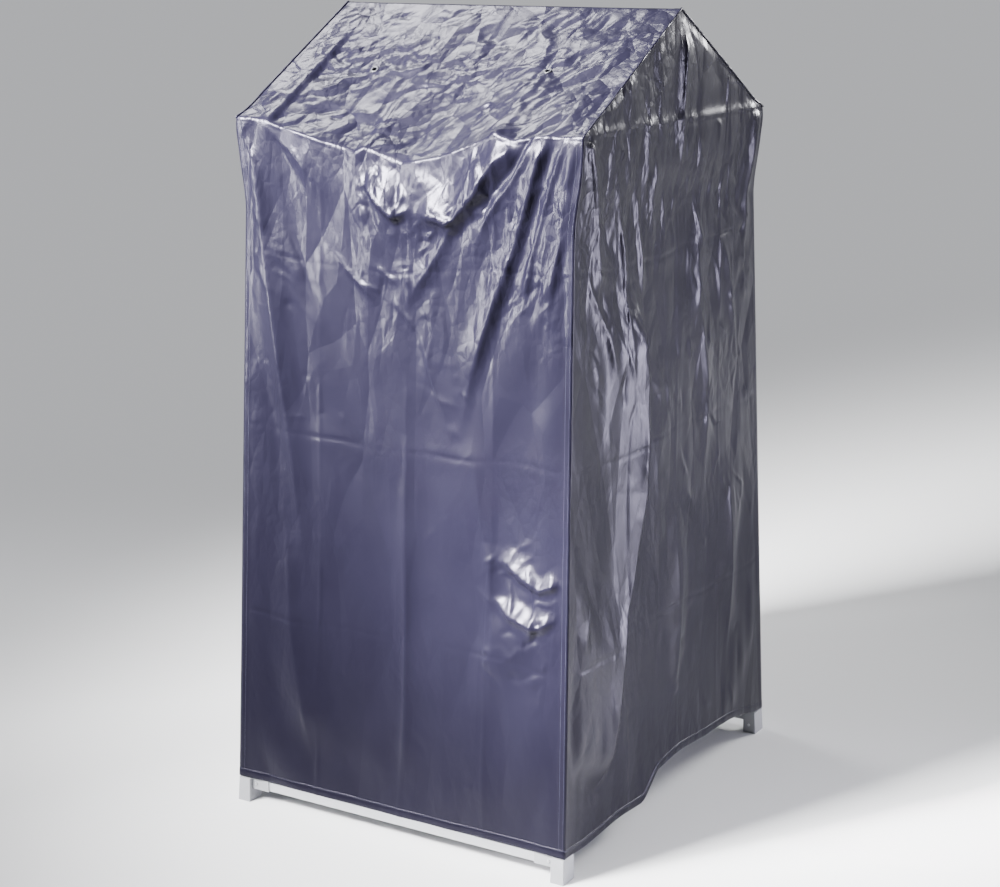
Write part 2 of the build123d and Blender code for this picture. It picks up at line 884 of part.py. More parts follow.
os.makedirs("parts", exist_ok=True)
for name, shape in build().items():
    export_step(shape, f"parts/{name}.step")
print("written")
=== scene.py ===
import json
import math

import bpy
import numpy as np
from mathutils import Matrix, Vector


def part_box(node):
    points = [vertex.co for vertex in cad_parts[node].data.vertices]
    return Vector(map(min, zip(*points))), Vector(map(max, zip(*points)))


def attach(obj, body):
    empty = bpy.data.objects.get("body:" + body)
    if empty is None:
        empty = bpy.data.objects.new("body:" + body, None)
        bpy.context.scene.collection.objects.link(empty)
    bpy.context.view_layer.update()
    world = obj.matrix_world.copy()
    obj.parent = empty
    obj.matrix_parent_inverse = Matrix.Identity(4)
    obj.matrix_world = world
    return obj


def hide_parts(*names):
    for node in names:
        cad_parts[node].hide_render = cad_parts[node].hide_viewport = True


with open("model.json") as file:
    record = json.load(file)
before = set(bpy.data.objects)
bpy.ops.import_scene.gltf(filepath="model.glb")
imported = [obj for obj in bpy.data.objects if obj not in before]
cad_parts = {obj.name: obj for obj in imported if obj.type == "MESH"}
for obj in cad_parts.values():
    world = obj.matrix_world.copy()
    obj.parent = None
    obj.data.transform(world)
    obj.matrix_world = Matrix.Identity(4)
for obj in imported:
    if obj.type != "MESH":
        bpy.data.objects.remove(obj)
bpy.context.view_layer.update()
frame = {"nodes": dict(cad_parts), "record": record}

nodes = frame["nodes"]
print("frame loaded,", len(nodes), "nodes")

view = {
    "azimuth": 30.27,
    "elevation": 14.35,
    "place": (2.256, -3.645, 1.854),
    "lens": 71.97,
    "shift": -0.06,      # the object stands a little left of the lens axis
}


def placeCamera():
    data = bpy.data.cameras.new("viewCamera")
    data.lens = view["lens"]
    data.sensor_width = 36
    data.shift_x = view["shift"]
    data.clip_end = 400
    camera = bpy.data.objects.new("viewCamera", data)
    bpy.context.scene.collection.objects.link(camera)
    azimuth, elevation = math.radians(view["azimuth"]), math.radians(view["elevation"])
    back = Vector((
        math.sin(azimuth) * math.cos(elevation),
        -math.cos(azimuth) * math.cos(elevation),
        math.sin(elevation),
    ))
    camera.location = view["place"]
    camera.rotation_mode = "QUATERNION"
    camera.rotation_quaternion = (-back).to_track_quat("-Z", "Y")
    bpy.context.scene.camera = camera


placeCamera()

# where the cover hangs, read from the frame
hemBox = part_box("cover_hem")
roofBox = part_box("cover_roof_front")
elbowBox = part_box("eave_elbow_front_right")
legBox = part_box("leg_front_right")
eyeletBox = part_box("cover_vent_eyelets")
tubeWidth, tubeDepth = 0.025, 0.030      # a leg's section

cover = {
    "clearance": 0.0034,      # cloth outside the legs, to pass the collars
    "elbowClearance": 0.0024,
    "grid": 0.0046,
    "simStep": 3,             # the simulated sheet is this much coarser
    "thickness": 0.0011,
    "rakeProud": 0.003,       # gable edges stand out over the rafters
    "hemArch": 0.040,         # middle of the left hem above its ends
    "hemStep": 0.050,         # the right hem rises at once, behind its big fold
}

hemZ = hemBox[0].z + 0.001
eaveZ = roofBox[0].z + 0.001
ridgeZ = roofBox[1].z + 0.001
eaveY = -roofBox[0].y
elbowLowZ = elbowBox[0].z
elbowOutX = elbowBox[1].x + cover["elbowClearance"]
elbowOutY = -elbowBox[0].y + cover["elbowClearance"]
legRun = legBox[1].z - legBox[0].z
sideLean = (legBox[1].x - legBox[0].x - tubeWidth) / legRun
depthLean = (legBox[1].y - legBox[0].y - tubeDepth) / legRun
slopeLength = math.hypot(eaveY, ridgeZ - eaveZ)
pitch = math.atan2(ridgeZ - eaveZ, eaveY)


def ease(low, high, value):
    t = np.clip((value - low) / (high - low), 0, 1)
    return t * t * (3 - 2 * t)


def coverCorner(z):
    # plan corner of the cover at height z: down the leg, and out over the elbow
    x = legBox[1].x - sideLean * (z - legBox[0].z) + cover["clearance"]
    y = -legBox[0].y - depthLean * (z - legBox[0].z) + cover["clearance"]
    over = ease(elbowLowZ - 0.10, elbowLowZ + 0.035, z)
    x = x + (elbowOutX - x) * over
    y = y + (np.maximum(elbowOutY - 0.06 * (z - elbowLowZ), y) - y) * over
    return x, y


def alongPath(u, v, path):
    # distance from a path, signed by side, and how far along it, 0 to 1
    points = [np.array(p, float) for p in path]
    lengths = [np.linalg.norm(b - a) for a, b in zip(points, points[1:])]
    total, done = sum(lengths), 0.0
    best = np.full(u.shape, 9.0)
    side = np.ones(u.shape)
    share = np.zeros(u.shape)
    for a, b, length in zip(points, points[1:], lengths):
        du, dv = (b - a) / length
        t = np.clip((u - a[0]) * du + (v - a[1]) * dv, 0, length)
        offU, offV = u - a[0] - t * du, v - a[1] - t * dv
        distance = np.hypot(offU, offV)
        closer = distance < best
        best = np.where(closer, distance, best)
        side = np.where(closer, np.sign(du * offV - dv * offU), side)
        share = np.where(closer, (done + t) / total, share)
        done += length
    return best * side, share


def fold(u, v, path, height, reach, sharp=0.15, ends=(0.15, 0.35), lean=1.0):
    # a crest (or valley, if height is negative) along a path; lean widens its left side
    distance, share = alongPath(u, v, path)
    width = np.where(distance > 0, reach * lean, reach)
    blunt = sharp * reach
    shape = np.exp(-(np.sqrt(distance ** 2 + blunt ** 2) - blunt) / width)
    taper = ease(0, ends[0], share) if ends[0] else 1.0
    if ends[1]:
        taper = taper * ease(0, ends[1], 1 - share)
    return height * shape * taper


def facet(u, v, path, height, left, right, ends=(0.1, 0.3)):
    # a crest with straight slopes, so that each side catches the light as one plane
    distance, share = alongPath(u, v, path)
    width = np.where(distance > 0, left, right)
    rise = np.clip(1 - abs(distance) / width, 0, 1)
    rise = rise * rise * (1.5 - 0.5 * rise)
    taper = ease(0, ends[0], share) if ends[0] else 1.0
    if ends[1]:
        taper = taper * ease(0, ends[1], 1 - share)
    return height * rise * taper


def crinkles(u, v, seed, count, box, angle, spread, length, height, reach):
    # many short folds at about one angle, inside a box of the panel
    rng = np.random.default_rng(seed)
    total = np.zeros(u.shape)
    (lowU, lowV), (highU, highV) = box
    for _ in range(count):
        cu, cv = rng.uniform(lowU, highU), rng.uniform(lowV, highV)
        turn = math.radians(rng.normal(angle, spread))
        half = rng.uniform(*length) / 2
        tall = rng.uniform(*height) * rng.choice((-1, 1))
        wide = rng.uniform(*reach)
        bend = rng.normal(0, 0.18) * half
        lean = rng.uniform(0.6, 2.6)
        room = half + 5 * wide * max(lean, 1)
        near = (abs(u - cu) < room) & (abs(v - cv) < room)
        if not near.any():
            continue
        du, dv = math.cos(turn), math.sin(turn)
        path = [
            (cu - half * du, cv - half * dv),
            (cu - bend * dv, cv + bend * du),
            (cu + half * du, cv + half * dv),
        ]
        total[near] += fold(u[near], v[near], path, tall, wide, 0.2, (0.45, 0.45), lean)
    return total


def rolling(u, v, seed, waves, height, stretch=(1.0, 1.0)):
    # slow uneven swell, as a sum of a few sine waves
    rng = np.random.default_rng(seed)
    total = np.zeros(u.shape)
    for _ in range(14):
        turn, phase = rng.uniform(0, math.pi), rng.uniform(0, 2 * math.pi)
        pace = 2 * math.pi / rng.uniform(*waves)
        du, dv = math.cos(turn) / stretch[0], math.sin(turn) / stretch[1]
        total += np.sin(pace * (u * du + v * dv) + phase)
    return height * total / math.sqrt(14)


packing = {"levels": (1.22, 0.84, 0.44), "height": 0.0019, "reach": 0.0035}


def packingCreases(u, v, uprights, seed):
    # the grid of creases left from folding the cover into its bag
    rng = np.random.default_rng(seed)
    total = np.zeros(u.shape)
    for level in packing["levels"]:
        wander = 0.006 * np.sin(u * 9 + rng.uniform(0, 6)) + 0.003 * np.sin(u * 31)
        strength = 0.35 + 0.65 * np.sin(u * 12 + rng.uniform(0, 6)) ** 2
        gap = abs(v - level - wander)
        total -= packing["height"] * strength * np.exp(-gap / packing["reach"])
        total += 0.0018 * strength * np.exp(-((gap / 0.03) ** 2))
    for place in uprights:
        wander = 0.004 * np.sin(v * 7 + rng.uniform(0, 6))
        gap = abs(u - place - wander)
        strength = 0.4 + 0.6 * np.sin(v * 8 + rng.uniform(0, 6)) ** 2
        total += packing["height"] * strength * np.exp(-gap / packing["reach"])
    return total


# big folds of the front wall: path in x and z, height, then its slopes
frontFacets = [
    dict(path=[(-0.375, 1.49), (-0.29, 1.38), (-0.18, 1.22), (-0.05, 0.90), (0.01, 0.60)],
         height=-0.017, left=0.055, right=0.12, ends=(0.03, 0.40)),
    dict(path=[(-0.395, 1.49), (-0.365, 1.38), (-0.33, 1.15), (-0.275, 0.80), (-0.24, 0.50)],
         height=0.013, left=0.05, right=0.06, ends=(0.03, 0.45)),
    dict(path=[(0.02, 1.385), (0.075, 1.350), (0.117, 1.328),
               (0.17, 1.375), (0.225, 1.44), (0.27, 1.49)],
         height=0.020, left=0.10, right=0.034, ends=(0.2, 0.15)),
    dict(path=[(0.117, 1.328), (0.08, 1.26), (0.03, 1.19), (-0.01, 1.12)],
         height=0.009, left=0.03, right=0.05, ends=(0.1, 0.5)),
    dict(path=[(-0.115, 1.425), (-0.06, 1.385), (-0.02, 1.36), (0.025, 1.385)],
         height=0.016, left=0.07, right=0.022, ends=(0.3, 0.3)),
    dict(path=[(0.335, 1.50), (0.25, 1.25), (0.165, 1.01), (0.13, 0.86)],
         height=0.015, left=0.024, right=0.060, ends=(0.04, 0.45)),
    dict(path=[(0.39, 1.49), (0.372, 1.32), (0.345, 1.18), (0.33, 1.02)],
         height=0.012, left=0.022, right=0.05, ends=(0.05, 0.5)),
    dict(path=[(0.16, 0.92), (0.205, 0.68), (0.23, 0.50), (0.22, 0.26)],
         height=0.011, left=0.11, right=0.07, ends=(0.3, 0.4)),
    dict(path=[(-0.30, 0.72), (-0.275, 0.42), (-0.22, 0.12)],
         height=0.012, left=0.10, right=0.08, ends=(0.45, 0.2)),
    dict(path=[(0.00, 0.95), (0.012, 0.60), (0.02, 0.10)],
         height=0.009, left=0.06, right=0.05, ends=(0.4, 0.15)),
    dict(path=[(0.235, 0.655), (0.29, 0.618), (0.34, 0.60), (0.40, 0.625)],
         height=0.015, left=0.06, right=0.02, ends=(0.3, 0.2)),
    dict(path=[(0.225, 0.575), (0.27, 0.535), (0.33, 0.52), (0.39, 0.55)],
         height=0.013, left=0.05, right=0.02, ends=(0.3, 0.25)),
]
# sharp narrow folds: path, height, reach
frontCreases = [
    dict(path=[(-0.105, 1.46), (-0.075, 1.33), (-0.035, 1.25)],
         height=-0.0070, reach=0.007, ends=(0, 0.5), lean=2.5),
    dict(path=[(0.315, 1.50), (0.24, 1.39), (0.17, 1.285)],
         height=0.0065, reach=0.0045, ends=(0.05, 0.2), lean=1.8),
    dict(path=[(0.30, 1.50), (0.228, 1.40), (0.165, 1.30)],
         height=-0.0040, reach=0.004, ends=(0.05, 0.3)),
    dict(path=[(0.375, 1.49), (0.335, 1.38), (0.295, 1.25), (0.27, 1.10)],
         height=0.0060, reach=0.006, ends=(0.05, 0.4), lean=0.7),
    dict(path=[(-0.182, 1.25), (-0.12, 1.195), (-0.065, 1.135)],
         height=0.0060, reach=0.0045, ends=(0.35, 0.35), lean=2.2),
    dict(path=[(-0.135, 1.175), (-0.06, 1.07), (0.02, 0.945)],
         height=-0.0050, reach=0.0045, ends=(0.2, 0.3), lean=2.4),
    dict(path=[(-0.035, 1.17), (0.04, 1.075)], height=0.0050, reach=0.004, ends=(0.4, 0.4), lean=2),
    dict(path=[(-0.07, 1.235), (-0.008, 1.19)], height=0.0045, reach=0.004, ends=(0.4, 0.4)),
    dict(path=[(-0.005, 1.25), (0.02, 1.18)], height=0.0050, reach=0.0035, ends=(0.4, 0.4), lean=2),
    dict(path=[(-0.05, 1.21), (-0.06, 1.14)], height=-0.0030, reach=0.004, ends=(0.4, 0.4)),
    dict(path=[(0.03, 1.12), (0.06, 1.02), (0.11, 0.90)],
         height=0.0045, reach=0.006, ends=(0.4, 0.4), lean=1.8),
    dict(path=[(-0.02, 1.10), (-0.045, 1.02)], height=-0.003, reach=0.005, ends=(0.4, 0.4)),
    dict(path=[(0.117, 1.328), (0.075, 1.36), (0.05, 1.40)],
         height=0.0050, reach=0.005, ends=(0.05, 0.5), lean=2),
    dict(path=[(0.125, 1.33), (0.155, 1.42)], height=0.0030, reach=0.004, ends=(0.2, 0.5)),
    dict(path=[(0.18, 1.38), (0.175, 1.45)], height=0.0035, reach=0.004, ends=(0.2, 0.4)),
    dict(path=[(0.05, 1.30), (0.08, 1.325)], height=0.0040, reach=0.004, ends=(0.3, 0.4)),
    dict(path=[(0.035, 1.27), (0.065, 1.295)], height=0.0040, reach=0.004, ends=(0.3, 0.4)),
    dict(path=[(-0.02, 1.36), (0.0, 1.41), (-0.01, 1.45)],
         height=0.0040, reach=0.005, ends=(0.1, 0.3), lean=2),
    dict(path=[(-0.06, 1.38), (-0.075, 1.44)], height=0.0035, reach=0.004, ends=(0.2, 0.4)),
    dict(path=[(0.29, 0.47), (0.33, 0.50), (0.35, 0.56)],
         height=-0.004, reach=0.006, ends=(0.3, 0.3)),
    dict(path=[(0.26, 0.61), (0.275, 0.53)], height=0.004, reach=0.005, ends=(0.3, 0.3)),
    dict(path=[(0.30, 0.66), (0.33, 0.56), (0.31, 0.46)],
         height=0.004, reach=0.005, ends=(0.3, 0.3)),
    dict(path=[(-0.385, 1.47), (-0.335, 1.38), (-0.25, 1.20), (-0.20, 1.05)],
         height=-0.0045, reach=0.005, ends=(0.02, 0.5), lean=1.6),
    dict(path=[(-0.36, 1.48), (-0.27, 1.44), (-0.21, 1.38)],
         height=0.0045, reach=0.006, ends=(0.1, 0.5), lean=2.0),
]

eaveDroop = {
    "x": (-0.42, -0.345, -0.20, -0.125, -0.102, -0.01, 0.08, 0.205, 0.25, 0.31, 0.35, 0.42),
    "drop": (0.0, 0.004, 0.036, 0.052, 0.040, 0.064, 0.044, 0.000, 0.014, 0.001, 0.004, 0.0),
}


def droopAt(x, rear=False):
    if rear:
        drop = 0.045 * np.clip(1 - (x / 0.40) ** 2, 0, 1) ** 1.2
        return drop + 0.006 * np.sin(x * 26) * np.clip(1 - (x / 0.38) ** 2, 0, 1)
    fine = np.linspace(-0.42, 0.42, 337)
    raw = np.interp(fine, eaveDroop["x"], eaveDroop["drop"])
    kernel = np.hanning(9)
    soft = np.convolve(np.pad(raw, 4, mode="edge"), kernel / kernel.sum(), "valid")
    return np.interp(x, fine, soft)


def frontBig(x, z):
    total = rolling(x, z, 11, (0.35, 0.9), 0.0035, (0.6, 1.5))
    for each in frontFacets:
        total += facet(x, z, **each)
    return total


def frontFine(x, z):
    total = rolling(x, z, 12, (0.10, 0.25), 0.0009, (0.8, 1.6))
    for each in frontCreases:
        total += fold(x, z, **each)
    total += packingCreases(x, z, (-0.205, 0.012, 0.215), 3)
    swags = ((-0.12, 1.30), (0.30, 1.48))
    total += crinkles(x, z, 21, 90, swags, -40, 40, (0.015, 0.09), (0.0006, 0.0026), (0.002, 0.006))
    total += crinkles(x, z, 22, 80, ((0.24, 1.1), (0.40, 1.48)), 72, 24,
                      (0.03, 0.15), (0.0008, 0.0030), (0.002, 0.006))
    total += crinkles(x, z, 23, 45, ((-0.20, 0.85), (0.16, 1.28)), -52, 26,
                      (0.03, 0.12), (0.0005, 0.0022), (0.002, 0.006))
    total += crinkles(x, z, 24, 110, ((-0.40, 0.06), (0.40, 1.3)), -75, 40,
                      (0.01, 0.10), (0.0003, 0.0012), (0.002, 0.006))
    total += crinkles(x, z, 25, 70, ((0.2, 0.38), (0.40, 0.70)), 30, 60,
                      (0.015, 0.09), (0.0005, 0.0026), (0.002, 0.007))
    total += crinkles(x, z, 26, 50, ((-0.40, 1.1), (-0.20, 1.48)), -62, 20,
                      (0.02, 0.12), (0.0004, 0.0018), (0.002, 0.006))
    return total


def rearBig(x, z):
    total = rolling(x, z, 41, (0.35, 0.9), 0.005, (0.6, 1.5))
    for side in (-1, 1):
        for number, turn in enumerate((7, 22, 40)):
            reach = 0.75 - 0.14 * number
            angle = math.radians(turn)
            path = [
                (side * (0.39 - t * reach * math.sin(angle)), 1.48 - t * reach * math.cos(angle))
                for t in (0, 0.5, 1)
            ]
            total += facet(x, z, path, 0.014 - 0.002 * number, 0.05, 0.07, (0.05, 0.5))
    return total


def rearFine(x, z):
    total = packingCreases(x, z, (-0.205, 0.0, 0.205), 5)
    total += crinkles(x, z, 42, 110, ((-0.40, 0.9), (0.40, 1.45)), -60, 45,
                      (0.03, 0.14), (0.0005, 0.0026), (0.004, 0.011))
    total += crinkles(x, z, 43, 80, ((-0.40, 0.06), (0.40, 0.95)), 80, 40,
                      (0.02, 0.12), (0.0003, 0.0015), (0.005, 0.012))
    return total


def roofFine(x, s, rear):
    # s runs down the slope from the ridge
    seed = 70 if rear else 60
    total = rolling(x, s, seed, (0.20, 0.5), 0.0022)
    total += rolling(x, s, seed + 1, (0.06, 0.15), 0.0006)
    crease = abs(s - 0.235 - 0.006 * np.sin(x * 14))
    total -= 0.0022 * np.exp(-crease / 0.006) * (0.4 + 0.6 * np.sin(x * 9 + 1) ** 2)
    total += 0.0010 * np.exp(-abs(x - 0.012) / 0.006)
    total += crinkles(x, s, seed + 2, 150, ((-0.38, 0.15), (0.32, 0.44)), -38, 16,
                      (0.02, 0.12), (0.0012, 0.0046), (0.003, 0.007))
    total += crinkles(x, s, seed + 3, 80, ((0.10, 0.05), (0.40, 0.44)), -52, 14,
                      (0.04, 0.18), (0.0014, 0.0052), (0.003, 0.007))
    total += crinkles(x, s, seed + 4, 90, ((-0.40, 0.02), (0.20, 0.25)), -20, 40,
                      (0.02, 0.10), (0.0008, 0.0032), (0.003, 0.006))
    for side in (-1, 1):
        du, ds = x - side * vent["x"], s - vent["s"]
        away = np.hypot(du, ds)
        rays = np.sin(np.arctan2(ds, du) * 7 + side)
        total *= 1 - np.exp(-((away / 0.018) ** 2))
        total += (0.0016 * rays - 0.0010) * np.exp(-((away / 0.030) ** 2)) * ease(0.008, 0.02, away)
    return total


# gable folds: path in y and z
gableFacets = [
    dict(path=[(-0.17, 1.20), (-0.155, 0.95), (-0.155, 0.75),
               (-0.20, 0.58), (-0.27, 0.38), (-0.36, 0.14)],
         height=0.038, left=0.05, right=0.24, ends=(0.15, 0.1)),
    dict(path=[(0.10, 1.42), (0.11, 1.10), (0.16, 0.90), (0.15, 0.60)],
         height=0.010, left=0.07, right=0.05, ends=(0.3, 0.4)),
    dict(path=[(0.22, 1.24), (0.29, 1.02), (0.33, 0.86)],
         height=0.011, left=0.05, right=0.06, ends=(0.2, 0.4)),
    dict(path=[(-0.385, 1.48), (-0.33, 1.34), (-0.30, 1.14)],
         height=0.011, left=0.05, right=0.05, ends=(0.05, 0.5)),
    dict(path=[(0.385, 1.48), (0.34, 1.30), (0.34, 1.10)],
         height=0.011, left=0.05, right=0.05, ends=(0.05, 0.5)),
    dict(path=[(0.26, 0.85), (0.29, 0.45), (0.26, 0.14)],
         height=0.012, left=0.10, right=0.09, ends=(0.4, 0.3)),
    dict(path=[(0.04, 0.66), (0.03, 0.40), (0.0, 0.13)],
         height=0.010, left=0.08, right=0.09, ends=(0.4, 0.3)),
]
gableCreases = [
    dict(path=[(0.02, 1.66), (0.018, 1.50), (0.016, 1.36)],
         height=0.005, reach=0.012, ends=(0.1, 0.5)),
    dict(path=[(-0.25, 1.40), (-0.22, 1.25), (-0.20, 1.05)],
         height=0.006, reach=0.010, ends=(0.3, 0.4)),
    dict(path=[(-0.17, 1.38), (-0.145, 1.25), (-0.13, 1.12)],
         height=0.006, reach=0.009, ends=(0.3, 0.4)),
    dict(path=[(-0.09, 1.42), (-0.10, 1.33), (-0.09, 1.27)],
         height=0.005, reach=0.009, ends=(0.3, 0.4)),
    dict(path=[(-0.36, 1.22), (-0.29, 1.10), (-0.24, 0.96)],
         height=0.006, reach=0.011, ends=(0.2, 0.5)),
]


def gableBig(y, z, side):
    handed = y * side
    total = rolling(handed, z, 80 if side > 0 else 90, (0.30, 0.8), 0.0035, (0.6, 1.6))
    for each in gableFacets:
        total += facet(handed, z, **each)
    return total


def gableFine(y, z, side):
    seed = 81 if side > 0 else 91
    handed = y * side
    total = rolling(handed, z, seed, (0.06, 0.16), 0.0007, (0.6, 1.8))
    for each in gableCreases:
        total += fold(handed, z, **each)
    total += packingCreases(handed, z, (-0.21, 0.018, 0.22), seed + 1)
    total += crinkles(handed, z, seed + 2, 170, ((-0.36, 0.85), (0.40, 1.48)), -80, 18,
                      (0.03, 0.14), (0.0006, 0.0028), (0.002, 0.006))
    total += crinkles(handed, z, seed + 3, 80, ((0.05, 0.55), (0.42, 1.30)), -65, 26,
                      (0.03, 0.16), (0.0008, 0.0032), (0.002, 0.007))
    total += crinkles(handed, z, seed + 4, 90, ((-0.42, 0.10), (0.42, 0.95)), -88, 22,
                      (0.03, 0.14), (0.0004, 0.0018), (0.004, 0.011))
    return total


sewing = {
    "pace": 0.0042,
    "length": 0.0030,
    "radius": 0.00036,
    "inset": 0.0046,      # first row of stitches from the corner
    "band": 0.0185,       # the felled seam's width
    "rise": 0.0012,
    "proud": 0.0002,      # thread's middle above the cloth
}


def inThrees(length):
    return cover["simStep"] * int(round(length / cover["grid"] / cover["simStep"]))


columns = inThrees(2 * elbowOutX)
wallRows = inThrees(eaveZ - hemZ)
roofRows = inThrees(slopeLength)
across = inThrees(2 * coverCorner(np.array(0.5))[1])
halfRows = wallRows + roofRows

# the vents' places on the slope, from the eyelets in the frame
vent = {
    "x": (eyeletBox[1].x - eyeletBox[0].x) / 2 - 0.0105,
    "s": slopeLength * ((eyeletBox[1].y - eyeletBox[0].y) / 2 - 0.0095) / eaveY,
    "hole": 0.0062,
    "flange": 0.0092,
    "bore": 0.0050,
    "proud": 0.0011,
}


def clothNormal(onWall, T, t):
    wallWay = np.array([-0.998, 0.058])
    roofWay = np.array([-math.sin(pitch), math.cos(pitch)])
    blend = np.where(onWall, ease(0.94, 1.0, T) * 0.5, 0.5 * (1 - ease(0, 0.12, t)))
    ny = np.where(onWall, wallWay[0], roofWay[0]) * (1 - blend) - 0.87 * blend
    nz = np.where(onWall, wallWay[1], roofWay[1]) * (1 - blend) + 0.49 * blend
    return ny, nz


def halfStrip(rear):
    # from a hem up its wall and over the roof to the ridge, with its big folds
    u = np.linspace(-1, 1, columns + 1)
    rise = np.concatenate([
        np.linspace(0, 1, wallRows + 1),
        1 + np.linspace(0, 1, roofRows + 1)[1:],
    ])
    U, T = np.meshgrid(u, rise)
    onWall = T <= 1
    t = np.clip(T - 1, 0, 1)
    z = np.where(onWall, hemZ + (eaveZ - hemZ) * T, eaveZ + (ridgeZ - eaveZ) * t)
    cornerX, cornerY = coverCorner(np.minimum(z, eaveZ))
    halfX = np.where(onWall, cornerX, elbowOutX + cover["rakeProud"] * ease(0, 0.3, t))
    eaveRow = coverCorner(np.array(eaveZ))[1]
    y = np.where(onWall, -cornerY, -eaveRow * (1 - t))
    x = U * halfX
    inside = halfX - abs(x)
    edge = ease(0, 0.035, inside)
    drop = droopAt(x, rear) * ease(0.03, 0.09, inside)
    falloff = np.where(onWall, ease(0.62, 1.0, T) ** 1.3, (1 - t) ** 1.25)
    wall = rearBig(x, z) if rear else frontBig(x, z)
    nearEave = ease(eaveZ - 0.05, eaveZ, z)
    big = np.where(onWall, wall * (1 - 0.5 * nearEave), 0)
    big = big + np.where(onWall, 0, wall[wallRows] * 0.5 * (1 - ease(0, 0.16, t)))
    ny, nz = clothNormal(onWall, T, t)
    fine = np.where(onWall, rearFine(x, z) if rear else frontFine(x, z), 0)
    fine = fine + np.where(onWall, 0, roofFine(x, slopeLength * (1 - t), rear))
    fine = fine * edge * np.where(onWall, 1 - 0.4 * nearEave, ease(0, 0.10, 1 - t))
    fine = fine + sewing["rise"] * ease(sewing["band"], sewing["band"] - 0.003, inside)
    y = y + big * edge * ny + drop * falloff * 0.12
    z = z + big * edge * nz - drop * falloff
    if rear:
        y = -y
    return np.stack([x, y, z], -1), fine


def layOut():
    front, frontDetail = halfStrip(False)
    back, backDetail = halfStrip(True)
    strip = np.concatenate([front, back[-2::-1]])
    detail = np.concatenate([frontDetail, backDetail[-2::-1]])
    bumpCorners(strip)
    gables, gableDetail = {}, {}
    for side in (-1, 1):
        gables[side], gableDetail[side] = layOutGable(strip, side)
    return strip, gables, detail, gableDetail


def bumpCorners(points):
    # moulded elbows push the cloth out at the four eave corners
    for side in (-1, 1):
        for end in (-1, 1):
            corner = np.array([side * (elbowOutX - 0.004), end * (eaveY - 0.004), eaveZ - 0.016])
            away = np.linalg.norm((points - corner) * (1, 1, 0.8), axis=-1)
            push = 0.0085 * np.exp(-((away / 0.034) ** 2))
            points += push[..., None] * np.array([side * 0.62, end * 0.72, 0.10])


def seamColumns(strip, side):
    column = -1 if side > 0 else 0
    return strip[: halfRows + 1, column], strip[::-1][: halfRows + 1, column]


def layOutGable(strip, side):
    # rows between the strip's front and rear edges, narrowing to the ridge
    frontEdge, rearEdge = seamColumns(strip, side)
    w = np.linspace(0, 1, across + 1)[None, :, None]
    grid = frontEdge[:, None] * (1 - w) + rearEdge[:, None] * w
    y, z = grid[..., 1].copy(), grid[..., 2].copy()
    halfY = abs(frontEdge[:, 1])[:, None]
    edge = ease(0, 0.045, halfY - abs(y))
    top = ease(0, 0.09, ridgeZ - z)
    lift = cover["hemArch"] * np.clip(1 - (y / 0.47) ** 2, 0, 1)
    if side > 0:
        lift = cover["hemStep"] * ease(-0.15, -0.06, y)
        lift = lift * np.clip(1 - ((y - 0.03) / 0.43) ** 2, 0, 1)
    sway = 0.003 * np.sin(y * 23 + side)
    bulge = gableBig(y, z, side) * edge * top
    grid[..., 0] += side * np.maximum(bulge, -0.001)
    grid[..., 2] += (lift + sway * edge) * ease(hemZ + 0.55, hemZ, z)
    fine = gableFine(y, z, side) * edge * top
    return grid, fine


def sheetMesh(name, strip, gables):
    rows, cols = strip.shape[:2]
    half = (rows - 1) // 2
    points = [strip.reshape(-1, 3)]
    index = np.arange(rows * cols).reshape(rows, cols)

    def quads(grid):
        return np.stack([grid[:-1, :-1], grid[:-1, 1:], grid[1:, 1:], grid[1:, :-1]], -1)

    faces = [quads(index).reshape(-1, 4)]
    triangles = []
    start = rows * cols
    for side in (-1, 1):
        inner = gables[side][:half, 1:-1]
        points.append(inner.reshape(-1, 3))
        own = start + np.arange(inner.shape[0] * inner.shape[1]).reshape(inner.shape[:2])
        start += own.size
        column = cols - 1 if side > 0 else 0
        before, after = index[:half, column][:, None], index[::-1][:half, column][:, None]
        full = np.concatenate([before, own, after], 1)
        squares = quads(full)
        faces.append((squares if side > 0 else squares[..., ::-1]).reshape(-1, 4))
        peak = index[half, column]
        for a, b in zip(full[-1, :-1], full[-1, 1:]):
            triangles.append((a, b, peak) if side > 0 else (b, a, peak))
    mesh = bpy.data.meshes.new(name)
    faceList = [tuple(int(n) for n in f) for f in np.concatenate(faces)]
    faceList += [tuple(int(n) for n in f) for f in triangles]
    mesh.from_pydata(np.concatenate(points).tolist(), [], faceList)
    mesh.update()
    mesh.polygons.foreach_set("use_smooth", [True] * len(mesh.polygons))
    piece = bpy.data.objects.new(name, mesh)
    bpy.context.scene.collection.objects.link(piece)
    return piece


def pointsOf(piece):
    graph = bpy.context.evaluated_depsgraph_get()
    made = piece.evaluated_get(graph).data
    flat = np.empty(len(made.vertices) * 3)
    made.vertices.foreach_get("co", flat)
    return flat.reshape(-1, 3)


def intoGrids(flat, strip, gables):
    # the mesh's points back as the strip and the two gables
    rows, cols = strip.shape[:2]
    half = (rows - 1) // 2
    newStrip = flat[: rows * cols].reshape(rows, cols, 3)
    newGables, start = {}, rows * cols
    for side in (-1, 1):
        wide = gables[side].shape[1] - 2
        inner = flat[start: start + half * wide].reshape(half, wide, 3)
        start += half * wide
        column = -1 if side > 0 else 0
        frontEdge, rearEdge = newStrip[: half + 1, column], newStrip[::-1][: half + 1, column]
        grid = np.empty((half + 1, wide + 2, 3))
        grid[:, 0], grid[:, -1] = frontEdge, rearEdge
        grid[:half, 1:-1] = inner
        grid[half, 1:-1] = frontEdge[half]
        newGables[side] = grid
    return newStrip, newGables


